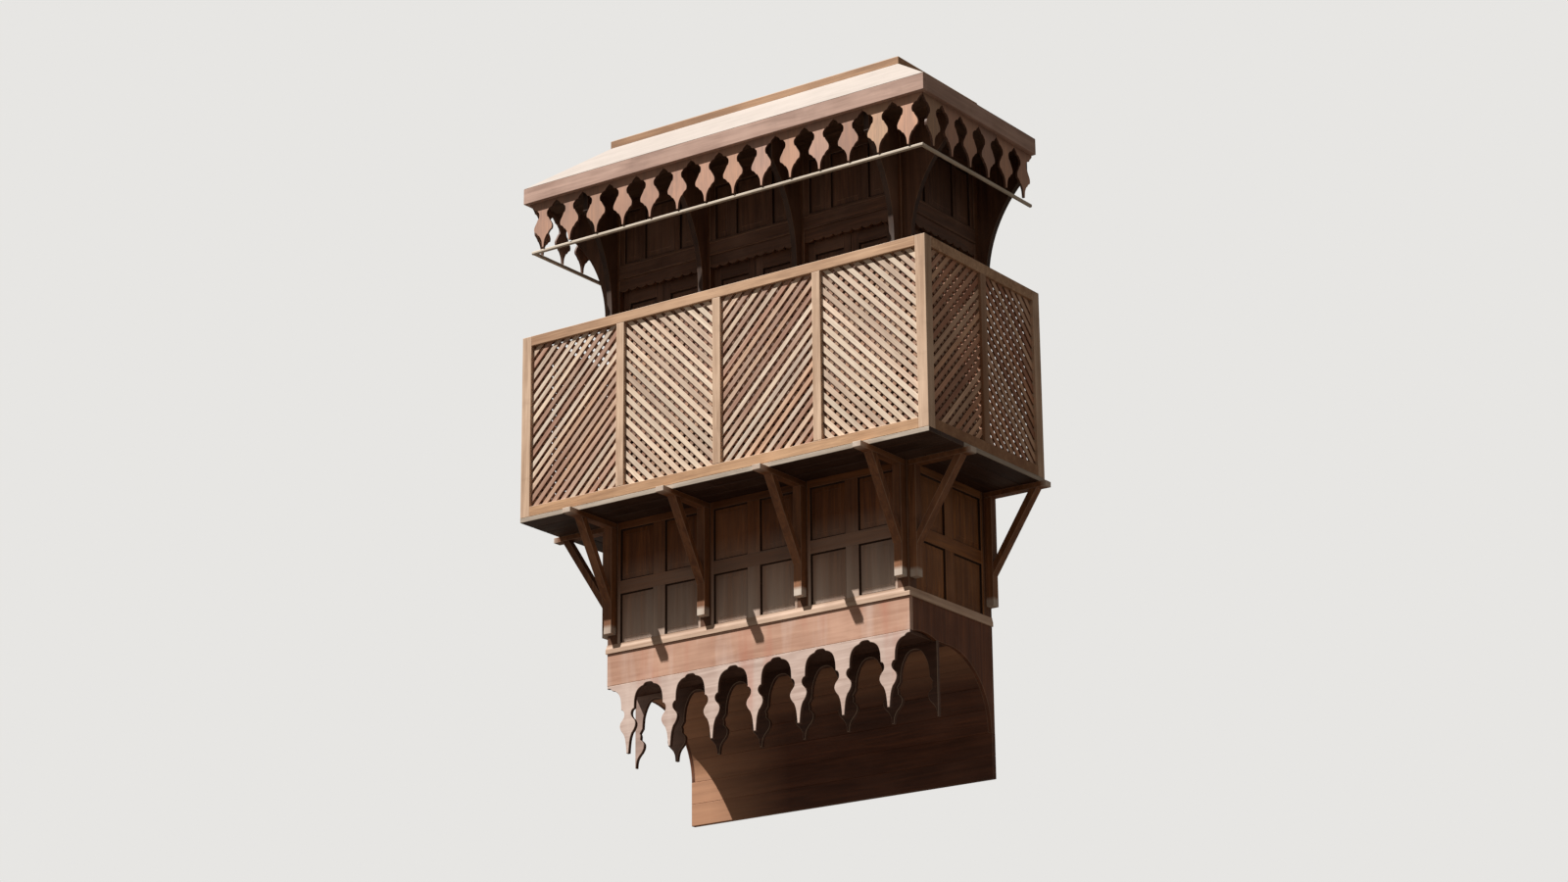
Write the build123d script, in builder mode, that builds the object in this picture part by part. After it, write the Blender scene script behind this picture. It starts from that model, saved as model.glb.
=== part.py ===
from build123d import *
import os
from math import cos, floor, radians, sin

# Projecting lattice bay of timber that hangs on a wall.
# Millimetres. +Z up, the wall plane is y = 0 and the bay stands out towards -Y.
# The origin lies on the back face of the floor beam, on the line of symmetry.

# Bay box
body_width = 1876
body_depth = 754
post_size = 66
bay_count = 3
wall_member_depth = 66
floor_beam_height = 120
head_beam_height = 120
deck_thickness = 28
wall_thickness = 40

# Heights of the wall zones, from the floor upwards
balcony_rise = 720
sill_rise = 50
shutter_height = 1210
valance_drop = 70
head_wall_height = 438
cap_height = 45

# Framed panels
lower_edge_stile = 15
lower_middle_stile = 76
lower_rail_low = 17
lower_rail_middle = 68
lower_row_height = 268
upper_row_height = 279
pocket_depth = 12
field_margin = 8
field_relief = 9
field_slope = 65
head_stile = 34
head_rail_height = 88
head_field_height = 300
head_field_share = 0.37
ledge_height = 80
ledge_projection = 10

# Shutters and scalloped valances
shutter_thickness = 34
shutter_setback = 34
shutter_clearance = 2
shutter_row_count = 3
shutter_rail = 60
shutter_stile = 44
valance_thickness = 22
valance_lobes = 9
lobe_depth = 16
lobe_shoulder = 0.22

# Underside: apron, cheeks, mouldings, soffit and cove
apron_height = 172
apron_thickness = 28
cheek_thickness = 22
cheek_edge_rise = 12
moulding_height = 46
moulding_projection = 14
moulding_lip = 14
moulding_top = 3
moulding_swell = 0.8
soffit_thickness = 18
soffit_drop = 8
cove_radius = 370
cove_thickness = 18
wall_board_depth = 30
wall_board_height = 234

# Hanging fringes. Each outline runs from the crown of the arch down to the tip,
# as distances from the axis of the pendant and below the upper edge of the board.
pendant_count = 7
pendant_tip = 7
fringe_thickness = 22
front_fringe_length = 372
front_crown = 16
front_arch = [(80, -40), (42, -113)]
front_turning = [
    (39, -158), (20, -184), (32, -200), (33, -224), (61, -250), (60, -266), (28, -303), (11, -326),
]
rear_fringe_length = 380
rear_crown = 22
rear_arch = [(80, -50), (52, -126)]
rear_turning = [(48, -176), (30, -196), (34, -220), (58, -248), (57, -270), (30, -304), (11, -342)]
rear_fringe_depth = 495

# Balcony
balcony_side_overhang = 338.5
balcony_front_overhang = 313
balcony_height = 1000
balcony_rail = 55
balcony_corner = 60
balcony_mullion = 50
balcony_frame_depth = 50
front_panel_count = 4
side_panel_count = 2
floor_board_thickness = 24

# Lattice: two crossing layers of slats
slat_width = 27
slat_pitch = 43.5
slat_thickness = 9
slat_angle = 45
lattice_setback = 14
back_slat_step = 8

# Carrying brackets of the balcony
joist_width = 50
joist_height = 28
joist_front_overhang = 77
joist_side_overhang = 35
leg_width = 48
leg_depth = 44
leg_drop = 573
strut_thickness = 44
strut_drop = 350
strut_foot_share = 1.4
strut_inset = 20

# Canopy
canopy_side_overhang = 342.5
canopy_front_overhang = 303
fascia_height = 88
fascia_thickness = 28
roof_rise = 253
roof_thickness = 28
roof_lip = 8
soffit_recess = 12
canopy_soffit_thickness = 16
picket_board_thickness = 14
front_picket_count = 14
side_picket_count = 6
picket_length = 280
picket_band = 30
picket_tip = 8
picket_outline = [(50, -70), (30, -91), (27, -118), (45, -159), (60, -180), (48, -212), (20, -242)]
rod_size = 18
edge_chamfer = 4
bracket_width = 32
bracket_height = 680
bracket_clearance = 5
bracket_foot = 45
bracket_nose = 120
bracket_hollow = 210
bracket_hollow_share = 0.42

# Levels
floor_level = floor_beam_height / 2
deck_top = floor_level + deck_thickness
joint_level = floor_level - apron_height
soffit_level = joint_level - soffit_drop
balcony_level = floor_level + balcony_rise
shutter_level = balcony_level + sill_rise
valance_level = shutter_level + shutter_height
head_level = valance_level + valance_drop
fascia_level = head_level + head_wall_height
canopy_soffit_level = fascia_level + soffit_recess
eaves_level = fascia_level + fascia_height
cap_level = eaves_level + roof_rise
picket_tip_level = canopy_soffit_level - picket_length
joist_top = balcony_level - floor_board_thickness
joist_level = joist_top - joist_height
balcony_top = balcony_level + balcony_height

# Plan places
side_face = body_width / 2
balcony_side = side_face + balcony_side_overhang
balcony_width = 2 * balcony_side
balcony_depth = body_depth + balcony_front_overhang
canopy_side = side_face + canopy_side_overhang
canopy_width = 2 * canopy_side
canopy_depth = body_depth + canopy_front_overhang
bay_pitch = (body_width - post_size) / bay_count
bay_clear = bay_pitch - post_size
side_bay_clear = body_depth - post_size - wall_member_depth
post_lines = [-side_face + post_size / 2 + i * bay_pitch for i in range(bay_count + 1)]
bay_centres = [(post_lines[i] + post_lines[i + 1]) / 2 for i in range(bay_count)]
side_bay_centre = -(body_depth - post_size + wall_member_depth) / 2
side_bracket_lines = [-body_depth + post_size / 2, -joist_width / 2]
body_front = Plane.XZ.offset(body_depth)
body_right = Plane.YZ.offset(side_face)

os.makedirs("parts", exist_ok=True)


def save(piece, name):
    piece.part.label = name
    export_step(piece.part, f"parts/{name}.step")


def both_sides():
    mirror(about=Plane.YZ)


# Upright frame

with BuildPart() as corner_posts:
    with BuildSketch(Plane.XY.offset(deck_top)):
        with Locations((side_face - post_size / 2, -body_depth + post_size / 2)):
            Rectangle(post_size, post_size)
    extrude(amount=cap_level - deck_top)
    both_sides()
save(corner_posts, "corner_posts")

with BuildPart() as mid_posts:
    with BuildSketch(Plane.XY.offset(deck_top)):
        with Locations([(x, -body_depth + post_size / 2) for x in post_lines[1:-1]]):
            Rectangle(post_size, post_size)
    extrude(amount=cap_level - deck_top)
save(mid_posts, "mid_posts")

with BuildPart() as wall_jambs:
    with BuildSketch(Plane.XY.offset(deck_top)):
        with Locations((side_face - post_size / 2, -wall_member_depth / 2)):
            Rectangle(post_size, wall_member_depth)
    extrude(amount=cap_level - deck_top)
    both_sides()
save(wall_jambs, "wall_jambs")

with BuildPart() as head_beam:
    with BuildSketch(Plane.XY.offset(cap_level - head_beam_height)):
        with Locations((0, -wall_member_depth / 2)):
            Rectangle(body_width - 2 * post_size, wall_member_depth)
    extrude(amount=head_beam_height)
save(head_beam, "head_beam")

with BuildPart() as floor_beam:
    with BuildSketch(Plane.XY.offset(-floor_level)):
        with Locations((0, -wall_member_depth / 2)):
            Rectangle(body_width - 2 * cheek_thickness, wall_member_depth)
    extrude(amount=floor_beam_height)
save(floor_beam, "floor_beam")

with BuildPart() as floor_deck:
    with BuildSketch(Plane.XY.offset(floor_level)):
        with Locations((0, -body_depth / 2)):
            Rectangle(body_width, body_depth)
    extrude(amount=deck_thickness)
save(floor_deck, "floor_deck")

with BuildPart() as top_cap:
    with BuildSketch(Plane.XY.offset(cap_level)):
        with Locations((0, -body_depth / 2)):
            Rectangle(body_width, body_depth)
    extrude(amount=cap_height)
    chamfer(top_cap.edges().group_by(Axis.Z)[-1], length=edge_chamfer)
save(top_cap, "top_cap")


# Framed walls with raised fields

def framed_wall(face, centre, width, low, high, thickness, fields):
    """A board wall between two uprights. Each field is a pocket with a sloped raised panel."""
    with BuildPart() as wall:
        with BuildSketch(face):
            with Locations((centre, (low + high) / 2)):
                Rectangle(width, high - low)
        extrude(amount=-thickness)
        with BuildSketch(face):
            for u, v, field_width, field_height in fields:
                with Locations((centre + u, v)):
                    Rectangle(field_width, field_height)
        extrude(amount=-pocket_depth, mode=Mode.SUBTRACT)
        with BuildSketch(face.offset(-pocket_depth)):
            for u, v, field_width, field_height in fields:
                with Locations((centre + u, v)):
                    Rectangle(field_width - 2 * field_margin, field_height - 2 * field_margin)
        extrude(amount=field_relief, taper=field_slope)
    return wall


def field_grid(width, edge_stile, middle_stile, columns, rows):
    """Fields side by side between the stiles, for each row given by its lower edge and height."""
    field_width = (width - 2 * edge_stile - (columns - 1) * middle_stile) / columns
    step = field_width + middle_stile
    return [
        ((column - (columns - 1) / 2) * step, low + height / 2, field_width, height)
        for column in range(columns)
        for low, height in rows
    ]


lower_row_level = deck_top + lower_rail_low
upper_row_level = lower_row_level + lower_row_height + lower_rail_middle
lower_rows = [(lower_row_level, lower_row_height), (upper_row_level, upper_row_height)]


def lower_wall(face, centre, clear):
    """Two columns and two rows of raised fields under the balcony floor."""
    fields = field_grid(clear, lower_edge_stile, lower_middle_stile, 2, lower_rows)
    return framed_wall(face, centre, clear, deck_top, shutter_level, wall_thickness, fields).part


def upper_wall(face, centre, clear):
    """A wide raised field between two narrow ones, over a projecting ledge."""
    field_level = head_level + head_rail_height + head_field_height / 2
    wide = head_field_share * clear
    narrow = (clear - wide) / 2 - 2 * head_stile
    aside = (wide + narrow) / 2 + head_stile
    fields = [
        (-aside, field_level, narrow, head_field_height),
        (0, field_level, wide, head_field_height),
        (aside, field_level, narrow, head_field_height),
    ]
    with BuildPart() as wall:
        add(framed_wall(face, centre, clear, head_level, cap_level, wall_thickness, fields).part)
        with BuildSketch(face):
            with Locations((centre, head_level + ledge_height / 2)):
                Rectangle(clear, ledge_height)
        extrude(amount=ledge_projection)
    return wall.part


def wall_set(make_wall):
    """Three walls on the front and one on each side, as separate solids."""
    with BuildPart() as walls:
        for centre in bay_centres:
            add(make_wall(body_front, centre, bay_clear))
        side_wall = make_wall(body_right, side_bay_centre, side_bay_clear)
        add(side_wall)
        add(side_wall.mirror(Plane.YZ))
    return walls


lower_panels = wall_set(lower_wall)
save(lower_panels, "lower_panels")

upper_panels = wall_set(upper_wall)
save(upper_panels, "upper_panels")

shutter_row_height = (shutter_height - (shutter_row_count + 1) * shutter_rail) / shutter_row_count
shutter_rows = [
    (shutter_level + shutter_rail + i * (shutter_row_height + shutter_rail), shutter_row_height)
    for i in range(shutter_row_count)
]


def shutter_pair(face, centre, clear):
    """Two closed leaves in one bay, set back from the face."""
    leaf = clear / 2 - 2 * shutter_clearance
    leaves = []
    for side in (-1, 1):
        leaves.append(framed_wall(
            face.offset(-shutter_setback), centre + side * (leaf / 2 + shutter_clearance), leaf,
            shutter_level, head_level, shutter_thickness,
            field_grid(leaf, shutter_stile, 0, 1, shutter_rows),
        ).part)
    return leaves


with BuildPart() as shutters:
    for centre in bay_centres:
        add(shutter_pair(body_front, centre, bay_clear))
    side_leaves = shutter_pair(body_right, side_bay_centre, side_bay_clear)
    add(side_leaves)
    add([leaf.mirror(Plane.YZ) for leaf in side_leaves])
save(shutters, "shutters")


def valance(face, centre, clear):
    """A thin board over the shutters whose lower edge is cut into small hanging lobes."""
    lobe = clear / valance_lobes
    spring = valance_level + lobe_depth
    left = centre - clear / 2
    edge = []
    for i in range(valance_lobes):
        edge += [
            (left + i * lobe, spring),
            (left + (i + lobe_shoulder) * lobe, valance_level),
            (left + (i + 1 - lobe_shoulder) * lobe, valance_level),
        ]
    with BuildPart() as board:
        with BuildSketch(face):
            with BuildLine():
                Polyline(
                    *edge, (left + clear, spring), (left + clear, head_level), (left, head_level),
                    close=True,
                )
            make_face()
        extrude(amount=-valance_thickness)
    return board.part


valances = wall_set(valance)
save(valances, "valances")


# Underside

with BuildPart() as front_apron:
    with BuildSketch(body_front):
        with Locations((0, (joint_level + floor_level) / 2)):
            Rectangle(body_width, apron_height)
    extrude(amount=-apron_thickness)
save(front_apron, "front_apron")

apron_back = -body_depth + apron_thickness
cove_start = -(wall_board_depth + cove_radius)
cove_centre_level = soffit_level - cove_radius
cove_middle = (
    cove_start + cove_radius * sin(radians(45)),
    cove_centre_level + cove_radius * cos(radians(45)),
)
rear_fringe_front = -rear_fringe_depth - fringe_thickness

with BuildPart() as side_cheeks:
    with BuildSketch(body_right):
        with BuildLine():
            Polyline(
                (rear_fringe_front, soffit_level), (cove_start, soffit_level),
            )
            ThreePointArc(
                (cove_start, soffit_level), cove_middle, (-wall_board_depth, cove_centre_level),
            )
            Polyline(
                (-wall_board_depth, cove_centre_level), (0, cove_centre_level), (0, floor_level),
                (apron_back, floor_level), (apron_back, joint_level),
            )
            ThreePointArc(
                (apron_back, joint_level),
                ((apron_back + rear_fringe_front) / 2, joint_level + cheek_edge_rise),
                (rear_fringe_front, soffit_level),
            )
        make_face()
    extrude(amount=-cheek_thickness)
    both_sides()
save(side_cheeks, "side_cheeks")

between_cheeks = body_width - 2 * cheek_thickness

with BuildPart() as soffit_board:
    with BuildSketch(Plane.XY.offset(soffit_level)):
        with Locations((0, (apron_back + cove_start) / 2)):
            Rectangle(between_cheeks, cove_start - apron_back)
    extrude(amount=soffit_thickness)
save(soffit_board, "soffit_board")

with BuildPart() as cove_soffit:
    with BuildSketch(Plane.YZ.offset(-between_cheeks / 2)):
        with Locations((cove_start, cove_centre_level)):
            Circle(cove_radius + cove_thickness)
            Circle(cove_radius, mode=Mode.SUBTRACT)
            Rectangle(
                cove_radius + cove_thickness, cove_radius + cove_thickness,
                align=(Align.MIN, Align.MIN), mode=Mode.INTERSECT,
            )
    extrude(amount=between_cheeks)
save(cove_soffit, "cove_soffit")

with BuildPart() as wall_board:
    with BuildSketch(Plane.XY.offset(cove_centre_level - wall_board_height)):
        with Locations((0, -wall_board_depth / 2)):
            Rectangle(body_width, wall_board_depth)
    extrude(amount=wall_board_height)
save(wall_board, "wall_board")


# Sill moulding: a square lip with a cyma above it that runs back to the wall, mitred at the corners

def moulding_profile(face_place):
    """Profile that stands out from the wall face, lip at the bottom."""
    low = floor_level
    high = floor_level + moulding_height
    lip = low + moulding_lip
    outer = face_place - moulding_projection
    inner = face_place - moulding_top
    middle = (outer + inner) / 2
    turn = (high + lip) / 2
    with BuildSketch() as profile:
        with BuildLine():
            Polyline((inner, high), (face_place, high), (face_place, low), (outer, low), (outer, lip))
            swell = moulding_swell * (middle - outer)
            ThreePointArc((outer, lip), (outer + swell, (lip + turn) / 2), (middle, turn))
            ThreePointArc((middle, turn), (inner - swell, (turn + high) / 2), (inner, high))
        make_face()
    return profile.sketch


moulding_front_place = -body_depth - moulding_projection
moulding_side_place = side_face + moulding_projection

with BuildPart() as sill_moulding_front:
    with BuildSketch(Plane.YZ.offset(-moulding_side_place)):
        add(moulding_profile(-body_depth))
    extrude(amount=2 * moulding_side_place)
    with BuildSketch(Plane.XY.offset(floor_level)):
        with BuildLine():
            Polyline(
                (-moulding_side_place, moulding_front_place),
                (moulding_side_place, moulding_front_place),
                (side_face, -body_depth), (-side_face, -body_depth), close=True,
            )
        make_face()
    extrude(amount=moulding_height, mode=Mode.INTERSECT)
save(sill_moulding_front, "sill_moulding_front")

with BuildPart() as sill_moulding_sides:
    with BuildSketch(Plane.XZ.offset(-moulding_front_place)):
        add(moulding_profile(-side_face))
    extrude(amount=moulding_front_place)
    with BuildSketch(Plane.XY.offset(floor_level)):
        with BuildLine():
            Polyline(
                (-moulding_side_place, moulding_front_place), (-moulding_side_place, 0),
                (-side_face, 0), (-side_face, -body_depth), close=True,
            )
        make_face()
    extrude(amount=moulding_height, mode=Mode.INTERSECT)
    both_sides()
save(sill_moulding_sides, "sill_moulding_sides")


# Fringes: scalloped arches between turned-looking pendants, cut from one board each

pendant_pitch = body_width / pendant_count
half_pitch = pendant_pitch / 2


def pendant(crown, arch, turning, length):
    """One pendant with half an arch on each side, centred on its own axis."""
    with BuildSketch() as outline:
        with BuildLine():
            top = Polyline((0, 0), (half_pitch, 0), (half_pitch, -crown))
            curve = ThreePointArc(top @ 1, *arch)
            Polyline(curve @ 1, *turning, (pendant_tip, -length), (0, -length))
            mirror(about=Plane.YZ)
        make_face()
    return outline.sketch


with BuildPart() as front_fringe:
    with BuildSketch(body_front):
        with Locations((0, joint_level)):
            with GridLocations(pendant_pitch, 1, pendant_count, 1):
                add(pendant(front_crown, front_arch, front_turning, front_fringe_length))
    extrude(amount=-fringe_thickness)
save(front_fringe, "front_fringe")

with BuildPart() as rear_fringe:
    with BuildSketch(Plane.XZ.offset(-rear_fringe_front)):
        with Locations((0, soffit_level)):
            with GridLocations(pendant_pitch, 1, pendant_count + 1, 1):
                add(pendant(rear_crown, rear_arch, rear_turning, rear_fringe_length))
            Rectangle(
                body_width, rear_fringe_length,
                align=(Align.CENTER, Align.MAX), mode=Mode.INTERSECT,
            )
    extrude(amount=-fringe_thickness)
save(rear_fringe, "rear_fringe")


# Balcony frame

frame_inner = balcony_side - balcony_corner
front_clear = 2 * frame_inner
side_clear = balcony_depth - 2 * balcony_corner
side_centre = -balcony_depth / 2
rail_low = balcony_level + balcony_rail
rail_high = balcony_top - balcony_rail
front_panel_width = (
    (front_clear - (front_panel_count - 1) * balcony_mullion) / front_panel_count
)
side_panel_width = (side_clear - (side_panel_count - 1) * balcony_mullion) / side_panel_count
front_panel_step = front_panel_width + balcony_mullion
side_panel_step = side_panel_width + balcony_mullion
front_frame_centre = -balcony_depth + balcony_frame_depth / 2
side_frame_centre = balcony_side - balcony_frame_depth / 2

with BuildPart() as balcony_posts:
    with BuildSketch(Plane.XY.offset(balcony_level)):
        for y in (-balcony_depth + balcony_corner / 2, -balcony_corner / 2):
            with Locations((balcony_side - balcony_corner / 2, y)):
                Rectangle(balcony_corner, balcony_corner)
    extrude(amount=balcony_height)
    both_sides()
save(balcony_posts, "balcony_posts")

with BuildPart() as balcony_mullions:
    with BuildSketch(Plane.XY.offset(rail_low)):
        with Locations((0, front_frame_centre)):
            with GridLocations(front_panel_step, 1, front_panel_count - 1, 1):
                Rectangle(balcony_mullion, balcony_frame_depth)
        for side in (-1, 1):
            with Locations((side * side_frame_centre, side_centre)):
                with GridLocations(1, side_panel_step, 1, side_panel_count - 1):
                    Rectangle(balcony_frame_depth, balcony_mullion)
    extrude(amount=rail_high - rail_low)
save(balcony_mullions, "balcony_mullions")


def rail_set(level):
    """Front rail and two side rails between the corner and wall posts."""
    with BuildPart() as rails:
        with BuildSketch(Plane.XY.offset(level)):
            with Locations((0, front_frame_centre)):
                Rectangle(front_clear, balcony_frame_depth)
            for side in (-1, 1):
                with Locations((side * side_frame_centre, side_centre)):
                    Rectangle(balcony_frame_depth, side_clear)
        extrude(amount=balcony_rail)
    return rails


balcony_bottom_rails = rail_set(balcony_level)
save(balcony_bottom_rails, "balcony_bottom_rails")

balcony_top_rails = rail_set(rail_high)
save(balcony_top_rails, "balcony_top_rails")

with BuildPart() as balcony_floor_front:
    with BuildSketch(Plane.XY.offset(joist_top)):
        with Locations((0, -(body_depth + balcony_depth) / 2)):
            Rectangle(balcony_width, balcony_depth - body_depth)
    extrude(amount=floor_board_thickness)
save(balcony_floor_front, "balcony_floor_front")

with BuildPart() as balcony_floor_sides:
    with BuildSketch(Plane.XY.offset(joist_top)):
        with Locations(((side_face + balcony_side) / 2, -body_depth / 2)):
            Rectangle(balcony_side - side_face, body_depth)
    extrude(amount=floor_board_thickness)
    both_sides()
save(balcony_floor_sides, "balcony_floor_sides")


# Lattice panels

def slat_places(width, height, pitch):
    """Distances of the slats from the middle, leaving out slivers in the corners."""
    reach = (width + height) / 2 * sin(radians(slat_angle)) - slat_width
    count = floor(reach / pitch)
    return [i * pitch for i in range(-count, count + 1)]


def slat_layer(width, height, lean, pitch):
    """One layer of parallel slats, cut to the panel."""
    for place in slat_places(width, height, pitch):
        shift = (-place * sin(radians(lean)), place * cos(radians(lean)))
        with Locations(shift):
            Rectangle(width + height, slat_width, rotation=lean)
    Rectangle(width, height, mode=Mode.INTERSECT)


def lattice(face, centre, width, lean):
    """Close outer slats over crossing back slats. The lean is the rise of the outer ones."""
    height = rail_high - rail_low
    middle = face.location * Pos(centre, (rail_low + rail_high) / 2, -lattice_setback)
    outer = Plane(middle)
    with BuildPart() as panel:
        with BuildSketch(outer):
            slat_layer(width, height, lean * slat_angle, slat_pitch)
        extrude(amount=-slat_thickness)
        with BuildSketch(outer.offset(-slat_thickness)):
            slat_layer(width, height, lean * (slat_angle - 90), slat_pitch * back_slat_step)
        extrude(amount=-slat_thickness)
    return panel


balcony_front = Plane.XZ.offset(balcony_depth)
balcony_right = Plane.YZ.offset(balcony_side)

for i in range(front_panel_count):
    panel_centre = (i - (front_panel_count - 1) / 2) * front_panel_step
    panel = lattice(balcony_front, panel_centre, front_panel_width, 1 if i % 2 == 0 else -1)
    save(panel, f"lattice_front_{i + 1}")

for i in range(side_panel_count):
    panel_centre = side_centre + (i - (side_panel_count - 1) / 2) * side_panel_step
    panel = lattice(balcony_right, panel_centre, side_panel_width, 1 if i % 2 == 0 else -1)
    save(panel, f"lattice_right_{i + 1}")
    with BuildPart() as left_panel:
        add(panel.part.mirror(Plane.YZ))
    save(left_panel, f"lattice_left_{i + 1}")


# Carrying brackets of the balcony

with BuildPart() as balcony_joists:
    with BuildSketch(Plane.XY.offset(joist_level)):
        joist_reach = balcony_depth + joist_front_overhang
        for x in post_lines:
            with Locations((x, -(body_depth + joist_reach) / 2)):
                Rectangle(joist_width, joist_reach - body_depth)
        side_reach = balcony_side + joist_side_overhang
        for side in (-1, 1):
            for y in side_bracket_lines:
                with Locations((side * (side_face + side_reach) / 2, y)):
                    Rectangle(side_reach - side_face, joist_width)
    extrude(amount=joist_height)
save(balcony_joists, "balcony_joists")

with BuildPart() as bracket_legs:
    with BuildSketch(Plane.XY.offset(joist_level - leg_drop)):
        for x in post_lines:
            with Locations((x, -body_depth - leg_depth / 2)):
                Rectangle(leg_width, leg_depth)
        for side in (-1, 1):
            for y in side_bracket_lines:
                with Locations((side * (side_face + leg_depth / 2), y)):
                    Rectangle(leg_depth, leg_width)
    extrude(amount=leg_drop)
save(bracket_legs, "bracket_legs")


def strut_outline(face_place, overhang):
    """Slanting bar from the leg up to the joist. It rises away from the wall, towards minus."""
    foot = face_place - leg_depth
    head = face_place - overhang + strut_inset
    foot_level = joist_level - strut_drop
    with BuildSketch() as outline:
        with BuildLine():
            Polyline(
                (foot, foot_level), (foot, foot_level - strut_foot_share * strut_thickness),
                (head, joist_level), (head + strut_thickness, joist_level), close=True,
            )
        make_face()
    return outline.sketch


with BuildPart() as bracket_struts:
    for x in post_lines:
        with BuildSketch(Plane.YZ.offset(x - leg_width / 2)):
            add(strut_outline(-body_depth, balcony_front_overhang))
    extrude(amount=leg_width)
    for y in side_bracket_lines:
        with BuildSketch(Plane.XZ.offset(-y - leg_width / 2)) as side_strut:
            add(strut_outline(-side_face, balcony_side_overhang))
        extrude(amount=leg_width)
        extrude(side_strut.sketch.mirror(Plane.YZ), amount=leg_width, dir=(0, -1, 0))
save(bracket_struts, "bracket_struts")


# Canopy

fascia_front = Plane.XZ.offset(canopy_depth)
inside_front = -canopy_depth + fascia_thickness
inside_side = canopy_side - fascia_thickness

with BuildPart() as canopy_fascia_front:
    with BuildSketch(fascia_front):
        with Locations((0, fascia_level + fascia_height / 2)):
            Rectangle(canopy_width, fascia_height)
    extrude(amount=-fascia_thickness)
save(canopy_fascia_front, "canopy_fascia_front")

with BuildPart() as canopy_fascia_sides:
    with BuildSketch(Plane.XY.offset(fascia_level)):
        with Locations((canopy_side - fascia_thickness / 2, inside_front / 2)):
            Rectangle(fascia_thickness, -inside_front)
    extrude(amount=fascia_height)
    both_sides()
save(canopy_fascia_sides, "canopy_fascia_sides")

with BuildPart() as canopy_soffit_front:
    with BuildSketch(Plane.XY.offset(canopy_soffit_level)):
        with Locations((0, (inside_front - body_depth) / 2)):
            Rectangle(2 * inside_side, -inside_front - body_depth)
    extrude(amount=canopy_soffit_thickness)
save(canopy_soffit_front, "canopy_soffit_front")

with BuildPart() as canopy_soffit_sides:
    with BuildSketch(Plane.XY.offset(canopy_soffit_level)):
        with Locations(((side_face + inside_side) / 2, -body_depth / 2)):
            Rectangle(inside_side - side_face, body_depth)
    extrude(amount=canopy_soffit_thickness)
    both_sides()
save(canopy_soffit_sides, "canopy_soffit_sides")

roof_front = -canopy_depth - roof_lip
roof_side = canopy_side + roof_lip


def roof_slope(eaves, inner_eaves, ridge):
    """Section of a sloping board roof from the eaves up to the bay box."""
    with BuildSketch() as section:
        with BuildLine():
            Polyline(
                (eaves, eaves_level), (ridge, cap_level), (ridge, cap_level - roof_thickness),
                (inner_eaves, eaves_level), close=True,
            )
        make_face()
    return section.sketch


with BuildPart() as canopy_roof_front:
    with BuildSketch(Plane.YZ.offset(-roof_side)):
        add(roof_slope(roof_front, inside_front, -body_depth))
    extrude(amount=2 * roof_side)
    with BuildSketch(Plane.XY.offset(eaves_level)):
        with BuildLine():
            Polyline(
                (-roof_side, roof_front), (roof_side, roof_front),
                (side_face, -body_depth), (-side_face, -body_depth), close=True,
            )
        make_face()
    extrude(amount=roof_rise, mode=Mode.INTERSECT)
save(canopy_roof_front, "canopy_roof_front")

with BuildPart() as canopy_roof_sides:
    with BuildSketch(Plane.XZ):
        add(roof_slope(-roof_side, -inside_side, -side_face))
    extrude(amount=-roof_front)
    with BuildSketch(Plane.XY.offset(eaves_level)):
        with BuildLine():
            Polyline(
                (-roof_side, roof_front), (-roof_side, 0), (-side_face, 0),
                (-side_face, -body_depth), close=True,
            )
        make_face()
    extrude(amount=roof_rise, mode=Mode.INTERSECT)
    both_sides()
save(canopy_roof_sides, "canopy_roof_sides")


# Picket fringe below the fascia

def picket(pitch):
    """One picket with its share of the band, hung from the top edge."""
    half = pitch / 2
    with BuildSketch() as outline:
        with BuildLine():
            Polyline(
                (0, 0), (half, 0), (half, -picket_band), *picket_outline,
                (picket_tip, -picket_length), (0, -picket_length),
            )
            mirror(about=Plane.YZ)
        make_face()
    return outline.sketch


def picket_board(face, centre, length, count):
    """A board cut into hanging pickets."""
    pitch = length / count
    with BuildPart() as board:
        with BuildSketch(face):
            with Locations((centre, canopy_soffit_level)):
                with GridLocations(pitch, 1, count, 1):
                    add(picket(pitch))
        extrude(amount=-picket_board_thickness)
    return board.part


picket_inner = -inside_front - picket_board_thickness

with BuildPart() as pickets_front:
    add(picket_board(Plane.XZ.offset(-inside_front), 0, 2 * inside_side, front_picket_count))
save(pickets_front, "pickets_front")

with BuildPart() as pickets_sides:
    side_board = picket_board(
        Plane.YZ.offset(inside_side), -picket_inner / 2, picket_inner, side_picket_count,
    )
    add(side_board)
    add(side_board.mirror(Plane.YZ))
save(pickets_sides, "pickets_sides")

rod_front_place = inside_front + picket_board_thickness / 2
rod_side_place = inside_side - picket_board_thickness / 2

with BuildPart() as drip_rod_front:
    with BuildSketch(Plane.XY.offset(picket_tip_level - rod_size)):
        with Locations((0, rod_front_place)):
            Rectangle(2 * rod_side_place + rod_size, rod_size)
    extrude(amount=rod_size)
    chamfer(drip_rod_front.edges().filter_by(Axis.X), length=edge_chamfer)
save(drip_rod_front, "drip_rod_front")

with BuildPart() as drip_rods_side:
    rod_end = rod_front_place + rod_size / 2
    with BuildSketch(Plane.XY.offset(picket_tip_level - rod_size)):
        with Locations((rod_side_place, rod_end / 2)):
            Rectangle(rod_size, -rod_end)
    extrude(amount=rod_size)
    chamfer(drip_rods_side.edges().filter_by(Axis.Y), length=edge_chamfer)
    both_sides()
save(drip_rods_side, "drip_rods_side")


# Curved plank brackets under the canopy

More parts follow.
